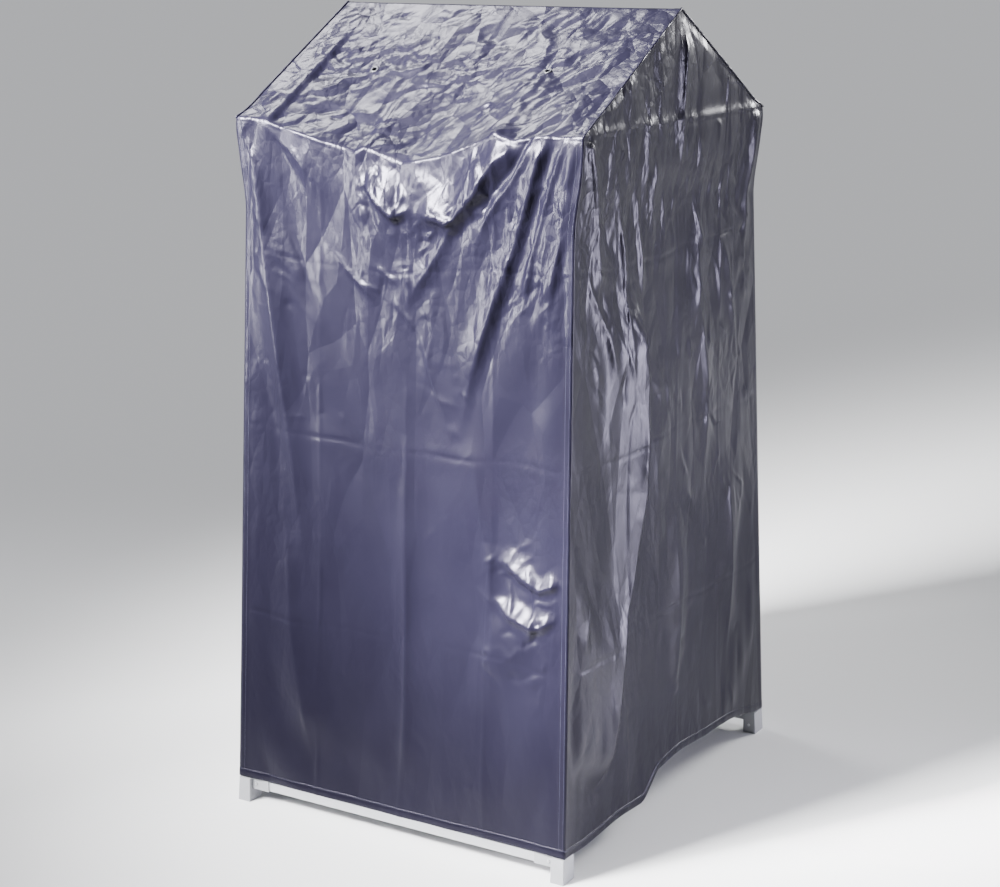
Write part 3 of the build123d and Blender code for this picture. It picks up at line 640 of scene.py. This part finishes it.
def finer(coarse, step):
    # values of a coarse grid spread over the fine one, smoothly
    for axis in (0, 1):
        coarse = np.moveaxis(coarse, axis, 0)
        count = coarse.shape[0]
        place = np.linspace(0, count - 1, (count - 1) * step + 1)
        low = np.minimum(place.astype(int), count - 2)
        t = (place - low)[:, None, None]
        before, after = np.maximum(low - 1, 0), np.minimum(low + 2, count - 1)
        a, b, c, d = coarse[before], coarse[low], coarse[low + 1], coarse[after]
        bend = t * (2 * a - 5 * b + 4 * c - d + t * (3 * (b - c) + d - a))
        coarse = b + 0.5 * t * (c - a + bend)
        coarse = np.moveaxis(coarse, 0, axis)
    return coarse


hang = {
    "frames": 30,
    "tension": 22.0,
    "compression": 5.0,
    "shear": 4.0,
    "bending": 14.0,
    "spare": 0.007,      # cloth that the cover has over the frame's own size
    "quality": 6,
    "smoothing": 2,      # passes over what the coarse sheet did
    "kept": 0.3,         # share of the hanging move added to the laid-out folds
    "mass": 0.12,
    "air": 2.5,
    "stretchDamping": 12,
    "bendDamping": 2.0,
}


def heldAt(points):
    # 1 where the cloth is held fast, less where it only leans on the frame
    x, y, z = abs(points[:, 0]), abs(points[:, 1]), points[:, 2]
    held = ease(0.03, 0.004, np.hypot(y, z - ridgeZ))
    slopeAt = ridgeZ - y * math.tan(pitch)
    onRake = ease(0.03, 0.008, elbowOutX - x) * ease(0.03, 0.01, abs(z - slopeAt))
    onRake = onRake * (z > eaveZ - 0.02)
    fromElbow = np.sqrt((x - elbowOutX) ** 2 + (y - eaveY) ** 2 + (0.7 * (z - eaveZ + 0.03)) ** 2)
    onElbow = ease(0.10, 0.045, fromElbow)
    cornerX, cornerY = coverCorner(np.minimum(z, eaveZ))
    fromSeam = np.hypot(cornerX - x, cornerY - y)
    onSeam = 0.55 * ease(0.03, 0.004, fromSeam) * (z < eaveZ)
    hemCorner = 0.8 * ease(0.05, 0.01, fromSeam) * ease(hemZ + 0.08, hemZ + 0.01, z)
    hemLine = 0.06 * ease(hemZ + 0.10, hemZ + 0.02, z)
    onRoof = 0.14 * ease(eaveZ + 0.02, eaveZ + 0.10, z)
    return np.max([held, onRake, onElbow, onSeam, hemCorner, hemLine, onRoof], axis=0)


def smoothed(moves):
    for _ in range(hang["smoothing"]):
        for axis in (0, 1):
            moves = np.moveaxis(moves, axis, 0).copy()
            moves[1:-1] = 0.25 * moves[:-2] + 0.5 * moves[1:-1] + 0.25 * moves[2:]
            moves = np.moveaxis(moves, 0, axis)
    return moves


def simulate(strip, gables):
    step = cover["simStep"]
    coarseStrip = strip[::step, ::step]
    coarseGables = {side: gables[side][::step, ::step] for side in (-1, 1)}
    sheet = sheetMesh("hangingSheet", coarseStrip, coarseGables)
    start = pointsOf(sheet)
    group = sheet.vertex_groups.new(name="held")
    for number, weight in enumerate(heldAt(start)):
        if weight > 0.01:
            group.add([number], float(weight), "REPLACE")
    cloth = sheet.modifiers.new("cloth", "CLOTH")
    settings = cloth.settings
    settings.vertex_group_mass = "held"
    settings.quality = hang["quality"]
    settings.mass = hang["mass"]
    settings.air_damping = hang["air"]
    settings.tension_stiffness = hang["tension"]
    settings.compression_stiffness = hang["compression"]
    settings.shear_stiffness = hang["shear"]
    settings.bending_stiffness = hang["bending"]
    settings.tension_damping = settings.compression_damping = hang["stretchDamping"]
    settings.bending_damping = hang["bendDamping"]
    settings.shrink_min = -hang["spare"]
    cloth.collision_settings.use_collision = False
    cloth.point_cache.frame_end = hang["frames"] + 1
    scene = bpy.context.scene
    scene.frame_end = hang["frames"] + 1
    for frameNumber in range(1, hang["frames"] + 1):
        scene.frame_set(frameNumber)
    end = pointsOf(sheet)
    scene.frame_set(1)
    mesh = sheet.data
    bpy.data.objects.remove(sheet)
    bpy.data.meshes.remove(mesh)
    movedStrip, movedGables = intoGrids(end - start, coarseStrip, coarseGables)

    def hung(grid, moves):
        return grid + hang["kept"] * finer(smoothed(moves), step)

    newStrip = hung(strip, movedStrip)
    newGables = {side: hung(gables[side], movedGables[side]) for side in (-1, 1)}
    print("cloth hung, largest move", round(float(abs(end - start).max()) * 1000, 1), "mm")
    return newStrip, newGables


def gridNormals(grid):
    down = np.gradient(grid, axis=0)
    along = np.gradient(grid, axis=1)
    normal = np.cross(along, down)
    size = np.linalg.norm(normal, axis=-1, keepdims=True)
    return normal / np.maximum(size, 1e-9)


def softFloor(value, floor, width):
    # value, kept above floor with a rounded turn
    return floor + width * np.logaddexp(0, (value - floor) / width)


lean = {
    "room": 0.012,       # how far a wall may sink between the legs
    "soft": 0.0012,      # how gently the cloth turns where it meets the frame
    "sunk": 0.0008,
    "blend": 24,         # columns beside a seam that move with it
}


def keepClear(strip, gables):
    # the cloth leans on the legs and bars, so it goes out freely but not in
    beside = lean["blend"]
    for rows, end in ((slice(0, wallRows), -1), (slice(-wallRows, None), 1)):
        part = strip[rows]
        cornerX, cornerY = coverCorner(np.minimum(part[..., 2], eaveZ))
        nearLeg = ease(0.13, 0.035, cornerX - abs(part[..., 0]))
        room = lean["room"] * (1 - nearLeg)
        if end > 0:
            room = 0.0       # a rail runs right behind the rear wall
        out = end * part[..., 1] - cornerY
        strip[rows][..., 1] = end * (cornerY + softFloor(out, -room, lean["soft"]) - lean["sunk"])
    for side in (-1, 1):
        part = gables[side][:wallRows, 1:-1]
        cornerX, _ = coverCorner(np.minimum(part[..., 2], eaveZ))
        out = side * part[..., 0] - cornerX
        part[..., 0] = side * (cornerX + softFloor(out, 0.0, lean["soft"]) - lean["sunk"])
        for rows in (slice(0, wallRows), slice(-wallRows, None)):
            edge = strip[rows, -beside:] if side > 0 else strip[rows, beside - 1::-1]
            cornerX, _ = coverCorner(np.minimum(edge[:, -1, 2], eaveZ))
            short = np.maximum(cornerX - side * edge[:, -1, 0], 0)
            edge[..., 0] += side * short[:, None] * np.linspace(0, 1, beside) ** 2
    aboveRoof(strip)
    for side in (-1, 1):
        frontEdge, rearEdge = seamColumns(strip, side)
        gables[side][:, 0], gables[side][:, -1] = frontEdge, rearEdge


def aboveRoof(strip):
    # over the rafters, elbows and ridge connectors the roof doesn't sink
    roof = strip[wallRows: -wallRows]
    surface = ridgeZ - abs(roof[..., 1]) * math.tan(pitch)
    over = (roof[..., 2] - surface) * math.cos(pitch)
    near = ease(0.325, 0.350, abs(roof[..., 0])) * ease(0.0, 0.02, eaveY - abs(roof[..., 1]))
    raised = softFloor(over, 0.0, 0.0010) - 0.0005
    lift = (raised - over) * near
    roof[..., 1] += lift * math.sin(pitch) * np.sign(roof[..., 1])
    roof[..., 2] += lift * math.cos(pitch)


def addDetail(strip, gables, detail, gableDetail):
    normals = gridNormals(strip)
    outward = np.sign((normals * (0, 0, 1)).sum() + (normals[:wallRows] * (0, -1, 0)).sum())
    strip += normals * outward * detail[..., None]
    aboveRoof(strip)
    for side in (-1, 1):
        normals = gridNormals(gables[side][:halfRows])
        normals *= np.sign((normals[..., 0] * side).sum())
        gables[side][:halfRows, 1:-1] += (normals * gableDetail[side][:halfRows, :, None])[:, 1:-1]


def ventSpots():
    # where each vent sits on the hanging cloth: centre, way out, and two ways across
    rowShare = (slopeLength - vent["s"]) / slopeLength * roofRows + wallRows
    spots = []
    for side in (-1, 1):
        colShare = (side * vent["x"] / (elbowOutX + cover["rakeProud"]) + 1) / 2 * columns
        for end in (-1, 1):
            grid = strip if end < 0 else strip[::-1]
            row, col = int(rowShare), int(colShare)
            r, c = rowShare - row, colShare - col
            below = grid[row, col] * (1 - c) + grid[row, col + 1] * c
            above = grid[row + 1, col] * (1 - c) + grid[row + 1, col + 1] * c
            centre = below * (1 - r) + above * r
            near = grid[row - 2: row + 4, col - 2: col + 4]
            alongX = near[:, -1].mean(0) - near[:, 0].mean(0)
            upSlope = near[-1].mean(0) - near[0].mean(0)
            out = np.cross(alongX, upSlope)
            out *= np.sign(out[2]) / np.linalg.norm(out)
            flat = np.cross(out, (1.0, 0.0, 0.0))
            flat /= np.linalg.norm(flat)
            spots.append((centre, out, flat, np.cross(out, flat)))
    return spots


def cutVents(piece):
    # drop the faces under each eyelet's hole
    mesh = piece.data
    centres = np.empty(len(mesh.polygons) * 3)
    mesh.polygons.foreach_get("center", centres)
    centres = centres.reshape(-1, 3)
    doomed = set()
    for spot in ventSpots():
        away = np.linalg.norm(centres - spot[0], axis=1)
        doomed.update(np.nonzero(away < vent["hole"])[0].tolist())
    keep = [tuple(f.vertices) for f in mesh.polygons if f.index not in doomed]
    points = [tuple(v.co) for v in mesh.vertices]
    mesh.clear_geometry()
    mesh.from_pydata(points, [], keep)
    mesh.update()
    mesh.polygons.foreach_set("use_smooth", [True] * len(mesh.polygons))
    print("vent holes cut,", len(doomed), "faces out")


def bake(piece):
    # keep what the modifiers make, and drop the modifiers
    graph = bpy.context.evaluated_depsgraph_get()
    made = bpy.data.meshes.new_from_object(piece.evaluated_get(graph))
    piece.modifiers.clear()
    old = piece.data
    piece.data = made
    bpy.data.meshes.remove(old)


strip, gables, detail, gableDetail = layOut()
print("cover laid out,", columns, "by", 2 * halfRows)
strip, gables = simulate(strip, gables)
keepClear(strip, gables)
addDetail(strip, gables, detail, gableDetail)
keepClear(strip, gables)
coverPiece = sheetMesh("weather_cover", strip, gables)
cutVents(coverPiece)
print("cover sheet made,", len(coverPiece.data.vertices), "points")


def newMaterial(name, **sockets):
    material = bpy.data.materials.new(name)
    material.use_nodes = True
    tree = material.node_tree
    shader = tree.nodes["Principled BSDF"]
    for socket, value in sockets.items():
        shader.inputs[socket].default_value = value
    return material, tree, shader


def addNode(tree, kind, **inputs):
    node = tree.nodes.new(kind)
    for name, value in inputs.items():
        node.inputs[name].default_value = value
    return node


def ramp(tree, source, stops):
    node = tree.nodes.new("ShaderNodeValToRGB")
    elements = node.color_ramp.elements
    while len(elements) < len(stops):
        elements.new(0.5)
    for element, (place, colour) in zip(elements, stops):
        element.position = place
        element.color = (*colour, 1)
    tree.links.new(source, node.inputs["Fac"])
    return node.outputs["Color"]


def noise(tree, coordinates, scale, detail=4.0, roughness=0.55, ridged=False):
    node = addNode(tree, "ShaderNodeTexNoise", Scale=scale, Detail=detail, Roughness=roughness)
    if ridged:
        node.noise_type = "RIDGED_MULTIFRACTAL"
        node.normalize = True
    tree.links.new(coordinates, node.inputs["Vector"])
    return node.outputs["Fac"]


def facets(tree, coordinates, scale):
    # rises evenly from sharp valleys to sharp crests, as in crumpled cloth
    drift = addNode(tree, "ShaderNodeTexNoise", Scale=scale * 0.5, Detail=1.0)
    tree.links.new(coordinates, drift.inputs["Vector"])
    shift = addNode(tree, "ShaderNodeVectorMath")
    shift.operation = "MULTIPLY_ADD"
    tree.links.new(drift.outputs["Color"], shift.inputs[0])
    shift.inputs[1].default_value = [0.45 / scale] * 3
    tree.links.new(coordinates, shift.inputs[2])
    cells = addNode(tree, "ShaderNodeTexVoronoi", Scale=scale, Randomness=0.75)
    cells.feature = "DISTANCE_TO_EDGE"
    tree.links.new(shift.outputs["Vector"], cells.inputs["Vector"])
    return cells.outputs["Distance"]


def between(tree, source, low, high):
    node = tree.nodes.new("ShaderNodeMapRange")
    node.inputs["To Min"].default_value = low
    node.inputs["To Max"].default_value = high
    tree.links.new(source, node.inputs["Value"])
    return node.outputs["Result"]


def maths(tree, operation, a, b):
    node = tree.nodes.new("ShaderNodeMath")
    node.operation = operation
    for number, source in enumerate((a, b)):
        if isinstance(source, float):
            node.inputs[number].default_value = source
        else:
            tree.links.new(source, node.inputs[number])
    return node.outputs["Value"]


def stretched(tree, coordinates, scale, turn=(0, 0, 0)):
    node = tree.nodes.new("ShaderNodeMapping")
    node.inputs["Scale"].default_value = scale
    node.inputs["Rotation"].default_value = turn
    tree.links.new(coordinates, node.inputs["Vector"])
    return node.outputs["Vector"]


def objectPlace(tree):
    return tree.nodes.new("ShaderNodeTexCoord").outputs["Object"]


def bump(tree, shader, layers):
    # several height layers, coarse to fine, each (output, strength, distance)
    previous = None
    for height, strength, distance in layers:
        node = addNode(tree, "ShaderNodeBump", Strength=strength, Distance=distance)
        tree.links.new(height, node.inputs["Height"])
        if previous:
            tree.links.new(previous.outputs["Normal"], node.inputs["Normal"])
        previous = node
    tree.links.new(previous.outputs["Normal"], shader.inputs["Normal"])


taffeta = {
    "deep": (0.0040, 0.0035, 0.0080),
    "lit": (0.0056, 0.0050, 0.0106),
    "roughLow": 0.265,
    "roughHigh": 0.305,
    "threads": 1500,          # threads to the metre, each way
}


def makeTaffeta():
    material, tree, shader = newMaterial("coatedTaffeta")
    shader.inputs["Specular IOR Level"].default_value = 0.17
    shader.inputs["Specular Tint"].default_value = (0.84, 0.80, 1.0, 1.0)
    place = objectPlace(tree)
    stops = [(0.3, taffeta["deep"]), (0.75, taffeta["lit"])]
    tone = ramp(tree, noise(tree, place, 7.0, 5, 0.6), stops)
    tree.links.new(tone, shader.inputs["Base Color"])
    uneven = noise(tree, place, 5.0, 2, 0.5)
    gloss = between(tree, uneven, taffeta["roughLow"], taffeta["roughHigh"])
    tree.links.new(gloss, shader.inputs["Roughness"])
    # flat patches with sharp creases between them, more of them high up, then the weave
    long = facets(tree, stretched(tree, place, (1.5, 1.5, 0.50), (0.45, 0.45, 0)), 6.0)
    cross = facets(tree, stretched(tree, place, (1.5, 1.5, 0.60), (-0.55, -0.55, 0.3)), 15.0)
    short = facets(tree, stretched(tree, place, (1.2, 1.2, 0.8), (0.8, 0.2, 0)), 42.0)
    height = tree.nodes.new("ShaderNodeSeparateXYZ")
    tree.links.new(place, height.inputs["Vector"])
    high = tree.nodes.new("ShaderNodeMapRange")
    high.inputs["From Min"].default_value = 0.25
    high.inputs["From Max"].default_value = 1.35
    high.inputs["To Min"].default_value = 0.25
    high.inputs["To Max"].default_value = 1.0
    tree.links.new(height.outputs["Z"], high.inputs["Value"])
    stops = [(0.38, (0.15, 0.15, 0.15)), (0.62, (1, 1, 1))]
    patches = ramp(tree, noise(tree, place, 4.0, 2, 0.5), stops)
    amount = maths(tree, "MULTIPLY", high.outputs["Result"], patches)
    warp = addNode(tree, "ShaderNodeTexWave", Scale=taffeta["threads"] / 6.3, Distortion=1.5)
    warp.bands_direction = "Z"
    weft = addNode(tree, "ShaderNodeTexWave", Scale=taffeta["threads"] / 6.3, Distortion=1.5)
    weft.bands_direction = "DIAGONAL"
    tree.links.new(place, warp.inputs["Vector"])
    tree.links.new(place, weft.inputs["Vector"])
    cloth = maths(tree, "ADD", warp.outputs["Fac"], weft.outputs["Fac"])
    bump(tree, shader, [
        (maths(tree, "MULTIPLY", long, high.outputs["Result"]), 1.0, 0.0130),
        (maths(tree, "MULTIPLY", cross, amount), 1.0, 0.0060),
        (maths(tree, "MULTIPLY", short, amount), 1.0, 0.0018),
        (cloth, 0.10, 0.00012),
    ])
    return material


coverCloth = makeTaffeta()
coverPiece.data.materials.append(coverCloth)
shell = coverPiece.modifiers.new("shell", "SOLIDIFY")
shell.thickness = cover["thickness"]
shell.offset = -1
bake(coverPiece)
print("cover thickened,", len(coverPiece.data.polygons), "faces")


def meshPiece(name, points, faces, material, smooth=True):
    mesh = bpy.data.meshes.new(name)
    mesh.from_pydata([tuple(float(c) for c in p) for p in points], [], faces)
    mesh.update()
    mesh.polygons.foreach_set("use_smooth", [smooth] * len(mesh.polygons))
    mesh.materials.append(material)
    piece = bpy.data.objects.new(name, mesh)
    bpy.context.scene.collection.objects.link(piece)
    return piece


def outwardNormals(grid, way):
    normals = gridNormals(grid)
    return normals * np.sign((normals * np.array(way)).sum())


def hemRing(height, offset):
    # points round the cover's hem, that far up the cloth and out from it
    row = int(round(height / cover["grid"]))
    share = height / cover["grid"] - row
    loops = []
    frontN = outwardNormals(strip[:wallRows], (0, -1, 0))
    rearN = outwardNormals(strip[-wallRows:], (0, 1, 0))
    rightN = outwardNormals(gables[1][:wallRows], (1, 0, 0))
    leftN = outwardNormals(gables[-1][:wallRows], (-1, 0, 0))

    def pick(grid, normals, line):
        step = grid[line + 1] - grid[line]
        return grid[line] + step * share + normals[line] * offset

    front = pick(strip, frontN, row)
    back = pick(strip[::-1], rearN[::-1], row)
    loops.append(front[:-1])
    loops.append(pick(gables[1], rightN, row)[:-1])
    loops.append(back[::-1][:-1])
    loops.append(pick(gables[-1], leftN, row)[::-1][:-1])
    return np.concatenate(loops)


def ringFaces(start, levels, count):
    # faces round a closed loop of rings, each of count points
    faces = []
    for level in range(levels):
        this, above = start + level * count, start + (level + 1) % levels * count
        for n in range(count):
            m = (n + 1) % count
            faces.append((this + n, above + n, above + m, this + m))
    return faces


hem = {"band": 0.017, "proud": 0.0009, "turn": 0.0016}


def makeHem():
    # the cloth turned up into a band, closed round the lower edge
    rings = [
        hemRing(hem["band"], 0.0001),
        hemRing(hem["band"] - 0.0008, hem["proud"]),
        hemRing(0.006, hem["proud"]),
        hemRing(0.0008, hem["proud"]),
        hemRing(0.0, hem["proud"] * 0.4) - (0, 0, hem["turn"]),
        hemRing(0.0, -cover["thickness"] - 0.0004) - (0, 0, hem["turn"] * 0.7),
        hemRing(0.004, -cover["thickness"] - 0.0006),
        hemRing(hem["band"], -cover["thickness"] - 0.0001),
    ]
    faces = ringFaces(0, len(rings), len(rings[0]))
    return meshPiece("cover_hem_band", np.concatenate(rings), faces, coverCloth)


def alongLine(points, pace):
    # even steps along a line of points: place, direction
    points = np.asarray(points)
    lengths = np.linalg.norm(np.diff(points, axis=0), axis=1)
    done = np.concatenate([[0], np.cumsum(lengths)])
    marks = np.arange(pace / 2, done[-1], pace)
    places = np.stack([np.interp(marks, done, points[:, k]) for k in range(3)], -1)
    ahead = np.stack([np.interp(marks + pace * 0.4, done, points[:, k]) for k in range(3)], -1)
    ways = ahead - places
    ways /= np.maximum(np.linalg.norm(ways, axis=1, keepdims=True), 1e-9)
    return places, ways


def makeStitches(name, lines, material):
    # each stitch is a short six-sided bead of thread, a little tapered
    points, faces = [], []
    for line, outward in lines:
        places, ways = alongLine(line, sewing["pace"])
        for place, way in zip(places, ways):
            side = np.cross(way, outward)
            side /= max(np.linalg.norm(side), 1e-9)
            up = np.cross(side, way)
            start = len(points)
            for along, size in ((-0.5, 0.5), (-0.2, 1.0), (0.2, 1.0), (0.5, 0.5)):
                for turn in range(6):
                    angle = turn * math.pi / 3
                    ring = side * math.cos(angle) + up * math.sin(angle)
                    bead = way * along * sewing["length"] + ring * sewing["radius"] * size
                    points.append(place + bead)
            for step in range(3):
                for turn in range(6):
                    a, b = start + step * 6 + turn, start + step * 6 + (turn + 1) % 6
                    faces.append((a, b, b + 6, a + 6))
            faces.append(tuple(start + n for n in range(5, -1, -1)))
            faces.append(tuple(start + 18 + n for n in range(6)))
    return meshPiece(name, points, faces, material)


def cornerLine(side, end, inset):
    # a line up a wall's vertical seam, a little in from the edge, on the cloth's face
    step = max(1, int(round(inset / cover["grid"])))
    grid = strip[:wallRows] if end < 0 else strip[-wallRows:][::-1]
    normals = outwardNormals(grid, (0, end, 0))
    column = -1 - step if side > 0 else step
    return grid[:, column] + normals[:, column] * sewing["proud"], (0, end, 0)


def rakeLine(side, end):
    column = -1 if side > 0 else 0
    rows = slice(wallRows, halfRows + 1) if end < 0 else slice(halfRows, halfRows + roofRows + 1)
    return strip[rows, column]


def makeTube(name, lines, radius, material, sides=8):
    points, faces = [], []
    for line in lines:
        line = np.asarray(line)
        way = np.gradient(line, axis=0)
        way /= np.linalg.norm(way, axis=1, keepdims=True)
        flat = np.cross(way, (1.0, 0.0, 0.0))
        flat /= np.maximum(np.linalg.norm(flat, axis=1, keepdims=True), 1e-9)
        other = np.cross(way, flat)
        start, count = len(points), len(line)
        for n in range(count):
            for turn in range(sides):
                angle = 2 * math.pi * turn / sides
                ring = flat[n] * math.cos(angle) + other[n] * math.sin(angle)
                points.append(line[n] + ring * radius)
        for n in range(count - 1):
            for turn in range(sides):
                a, b = start + n * sides + turn, start + n * sides + (turn + 1) % sides
                faces.append((a, b, b + sides, a + sides))
        faces.append(tuple(start + n for n in range(sides - 1, -1, -1)))
        faces.append(tuple(start + (count - 1) * sides + n for n in range(sides)))
    return meshPiece(name, points, faces, material)


def makeThread():
    material, tree, shader = newMaterial("sewingThread", Roughness=0.6)
    place = objectPlace(tree)
    stops = [(0.3, (0.020, 0.020, 0.040)), (0.7, (0.045, 0.045, 0.075))]
    tone = ramp(tree, noise(tree, place, 300, 3), stops)
    tree.links.new(tone, shader.inputs["Base Color"])
    bump(tree, shader, [(noise(tree, stretched(tree, place, (1, 1, 6)), 900, 2), 0.4, 0.0001)])
    return material


thread = makeThread()
hemBand = makeHem()
rakes = [rakeLine(side, end) for side in (-1, 1) for end in (-1, 1)]
rakePiping = makeTube("cover_rake_piping", rakes, 0.0024, coverCloth)
seamLines = []
for side in (-1, 1):
    for end in (-1, 1):
        seamLines.append(cornerLine(side, end, sewing["inset"]))
        seamLines.append(cornerLine(side, end, 3 * sewing["inset"]))
hemStitchLine = hemRing(hem["band"] - 0.002, hem["proud"] + 0.0001)
hemLoop = np.concatenate([hemStitchLine, hemStitchLine[:1]])
hemWays = [(0, -1, 0), (1, 0, 0), (0, 1, 0), (-1, 0, 0)]
counts = [columns, across, columns, across]
hemLines, first = [], 0
for count, way in zip(counts, hemWays):
    hemLines.append((hemLoop[first: first + count + 1], way))
    first += count
seamStitches = makeStitches("cover_seam_stitches", seamLines, thread)
hemStitches = makeStitches("cover_hem_stitches", hemLines, thread)
print("hem, piping and stitches made")


def makeEyelets(material):
    # a pressed ring on each face of the cloth, joined through the hole
    bore, flange, proud = vent["bore"], vent["flange"], vent["proud"]
    profile = [
        (flange, 0.0001), (flange - 0.0004, proud * 0.7), (flange - 0.0016, proud),
        (bore + 0.0012, proud), (bore + 0.0003, proud * 0.75), (bore, 0.0), (bore, -0.0016),
        (bore + 0.0006, -0.0024), (flange - 0.0012, -0.0024), (flange, -0.0013),
    ]
    points, faces = [], []
    sides = 40
    for centre, out, flat, other in ventSpots():
        start = len(points)
        for radius, height in profile:
            for turn in range(sides):
                angle = 2 * math.pi * turn / sides
                ring = flat * math.cos(angle) + other * math.sin(angle)
                points.append(centre + ring * radius + out * height)
        faces += ringFaces(start, len(profile), sides)
    return meshPiece("cover_eyelet_rings", points, faces, material)


def makeAnodised():
    material, tree, shader = newMaterial("satinTube", Metallic=1.0)
    place = objectPlace(tree)
    grain = noise(tree, stretched(tree, place, (3, 60, 60)), 20, 4, 0.6)
    tone = ramp(tree, grain, [(0.35, (0.66, 0.67, 0.70)), (0.7, (0.78, 0.79, 0.82))])
    tree.links.new(tone, shader.inputs["Base Color"])
    tree.links.new(between(tree, grain, 0.32, 0.46), shader.inputs["Roughness"])
    bump(tree, shader, [(grain, 0.15, 0.0003)])
    return material


def makeMoulded(name, low, high, rough, scale):
    material, tree, shader = newMaterial(name)
    place = objectPlace(tree)
    tone = ramp(tree, noise(tree, place, 14, 3, 0.5), [(0.3, low), (0.7, high)])
    tree.links.new(tone, shader.inputs["Base Color"])
    pits = noise(tree, place, scale, 2, 0.5)
    tree.links.new(between(tree, pits, rough - 0.06, rough + 0.08), shader.inputs["Roughness"])
    bump(tree, shader, [(pits, 0.2, 0.0002)])
    return material


def makeSteel():
    material, tree, shader = newMaterial("platedSteel", Metallic=1.0)
    place = objectPlace(tree)
    grain = noise(tree, place, 260, 4, 0.6)
    tone = ramp(tree, grain, [(0.3, (0.50, 0.50, 0.52)), (0.7, (0.68, 0.68, 0.69))])
    tree.links.new(tone, shader.inputs["Base Color"])
    tree.links.new(between(tree, grain, 0.25, 0.42), shader.inputs["Roughness"])
    bump(tree, shader, [(grain, 0.1, 0.0002)])
    return material


mouldings = {
    "coated_tube": ("whiteCoat", (0.50, 0.51, 0.53), (0.58, 0.59, 0.61), 0.34, 500),
    "moulded_grey": ("greyMoulding", (0.22, 0.224, 0.24), (0.28, 0.284, 0.30), 0.50, 900),
    "coated_line": ("lineCoat", (0.60, 0.64, 0.66), (0.70, 0.73, 0.75), 0.36, 700),
    "dark_eyelet": ("darkMoulding", (0.010, 0.010, 0.014), (0.02, 0.02, 0.026), 0.45, 800),
}
finishes = {slot: makeMoulded(*values) for slot, values in mouldings.items()}
finishes["anodised_tube"] = makeAnodised()
finishes["bright_steel"] = makeSteel()
finishes["coated_taffeta"] = coverCloth
for entry in frame["record"]["subparts"]:
    piece = nodes[entry["node"]]
    piece.data.materials.clear()
    piece.data.materials.append(finishes[entry["material_slot"]])
eyelets = makeEyelets(finishes["dark_eyelet"])
print("finishes on the frame")

extras = [hemBand, rakePiping, seamStitches, hemStitches, eyelets]
for piece in [coverPiece, *extras]:
    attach(piece, "cover")
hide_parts("cover_wall_front", "cover_wall_rear", "cover_roof_front",
            "cover_roof_rear", "cover_gable_left", "cover_gable_right")
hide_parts("cover_hem")
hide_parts("cover_vent_eyelets")

studio = {
    "floorSize": 160.0,
    "floorTone": (0.80, 0.80, 0.81),
    "worldTone": (0.90, 0.93, 1.0),
    "worldStrength": 0.28,
    "sunPower": 1.5,
    "sunHeight": 62,      # degrees up
    "sunTurn": -38,       # degrees round from straight in front, towards the left
    "sunAngle": 34,       # how wide the sun is, for soft shadows
}


def makeStage():
    half = studio["floorSize"] / 2
    points = [(-half, -half, 0), (half, -half, 0), (half, half, 0), (-half, half, 0)]
    material, _, shader = newMaterial("floorPaper", Roughness=0.9)
    shader.inputs["Base Color"].default_value = (*studio["floorTone"], 1)
    shader.inputs["Specular IOR Level"].default_value = 0.1
    meshPiece("floor", points, [(0, 1, 2, 3)], material, False)
    world = bpy.data.worlds.new("studio")
    bpy.context.scene.world = world
    world.use_nodes = True
    sky = world.node_tree.nodes["Background"]
    sky.inputs["Color"].default_value = (*studio["worldTone"], 1)
    sky.inputs["Strength"].default_value = studio["worldStrength"]


def overhead(power):
    data = bpy.data.lights.new("overhead", "SUN")
    data.energy = power
    data.angle = math.radians(studio["sunAngle"])
    lamp = bpy.data.objects.new("overhead", data)
    bpy.context.scene.collection.objects.link(lamp)
    height, turn = math.radians(studio["sunHeight"]), math.radians(studio["sunTurn"])
    towards = Vector((
        math.sin(turn) * math.cos(height),
        -math.cos(turn) * math.cos(height),
        math.sin(height),
    ))
    lamp.rotation_mode = "QUATERNION"
    lamp.rotation_quaternion = (-towards).to_track_quat("-Z", "Y")


def softbox(name, place, target, size, power, spread, colour=(1, 1, 1)):
    data = bpy.data.lights.new(name, "AREA")
    data.shape = "RECTANGLE"
    data.size, data.size_y = size
    data.energy = power
    data.spread = math.radians(spread)
    data.color = colour
    lamp = bpy.data.objects.new(name, data)
    bpy.context.scene.collection.objects.link(lamp)
    lamp.location = place
    aim = Vector(target) - Vector(place)
    lamp.rotation_mode = "QUATERNION"
    lamp.rotation_quaternion = aim.to_track_quat("-Z", "Y")


softboxes = {
    "keyBox": dict(place=(-1.5, -2.8, 3.05), target=(-0.03, -0.4, 1.50),
                   size=(1.5, 1.1), power=290, spread=50),
    "leftBox": dict(place=(-2.9, -2.4, 1.35), target=(0, -0.42, 1.15),
                    size=(0.35, 1.2), power=17, spread=50),
    "lowBox": dict(place=(-1.6, -3.2, 1.9), target=(0.34, -0.45, 0.55),
                   size=(0.35, 0.35), power=12, spread=14),
    "roofBox": dict(place=(-1.75, 0.7, 3.9), target=(-0.1, -0.2, 1.6),
                    size=(0.9, 0.9), power=11, spread=60),
    "rearBox": dict(place=(1.7, 3.8, 2.5), target=(-0.1, 0.4, 1.2),
                    size=(1.6, 1.2), power=45, spread=50),
    "sideBox": dict(place=(2.65, 1.0, 0.70), target=(0.43, -0.2, 0.72),
                    size=(0.5, 1.2), power=17, spread=60, colour=(0.86, 0.84, 1.0)),
}

makeStage()
overhead(studio["sunPower"])
for name, box in softboxes.items():
    softbox(name, **box)
print("stage and lights set")
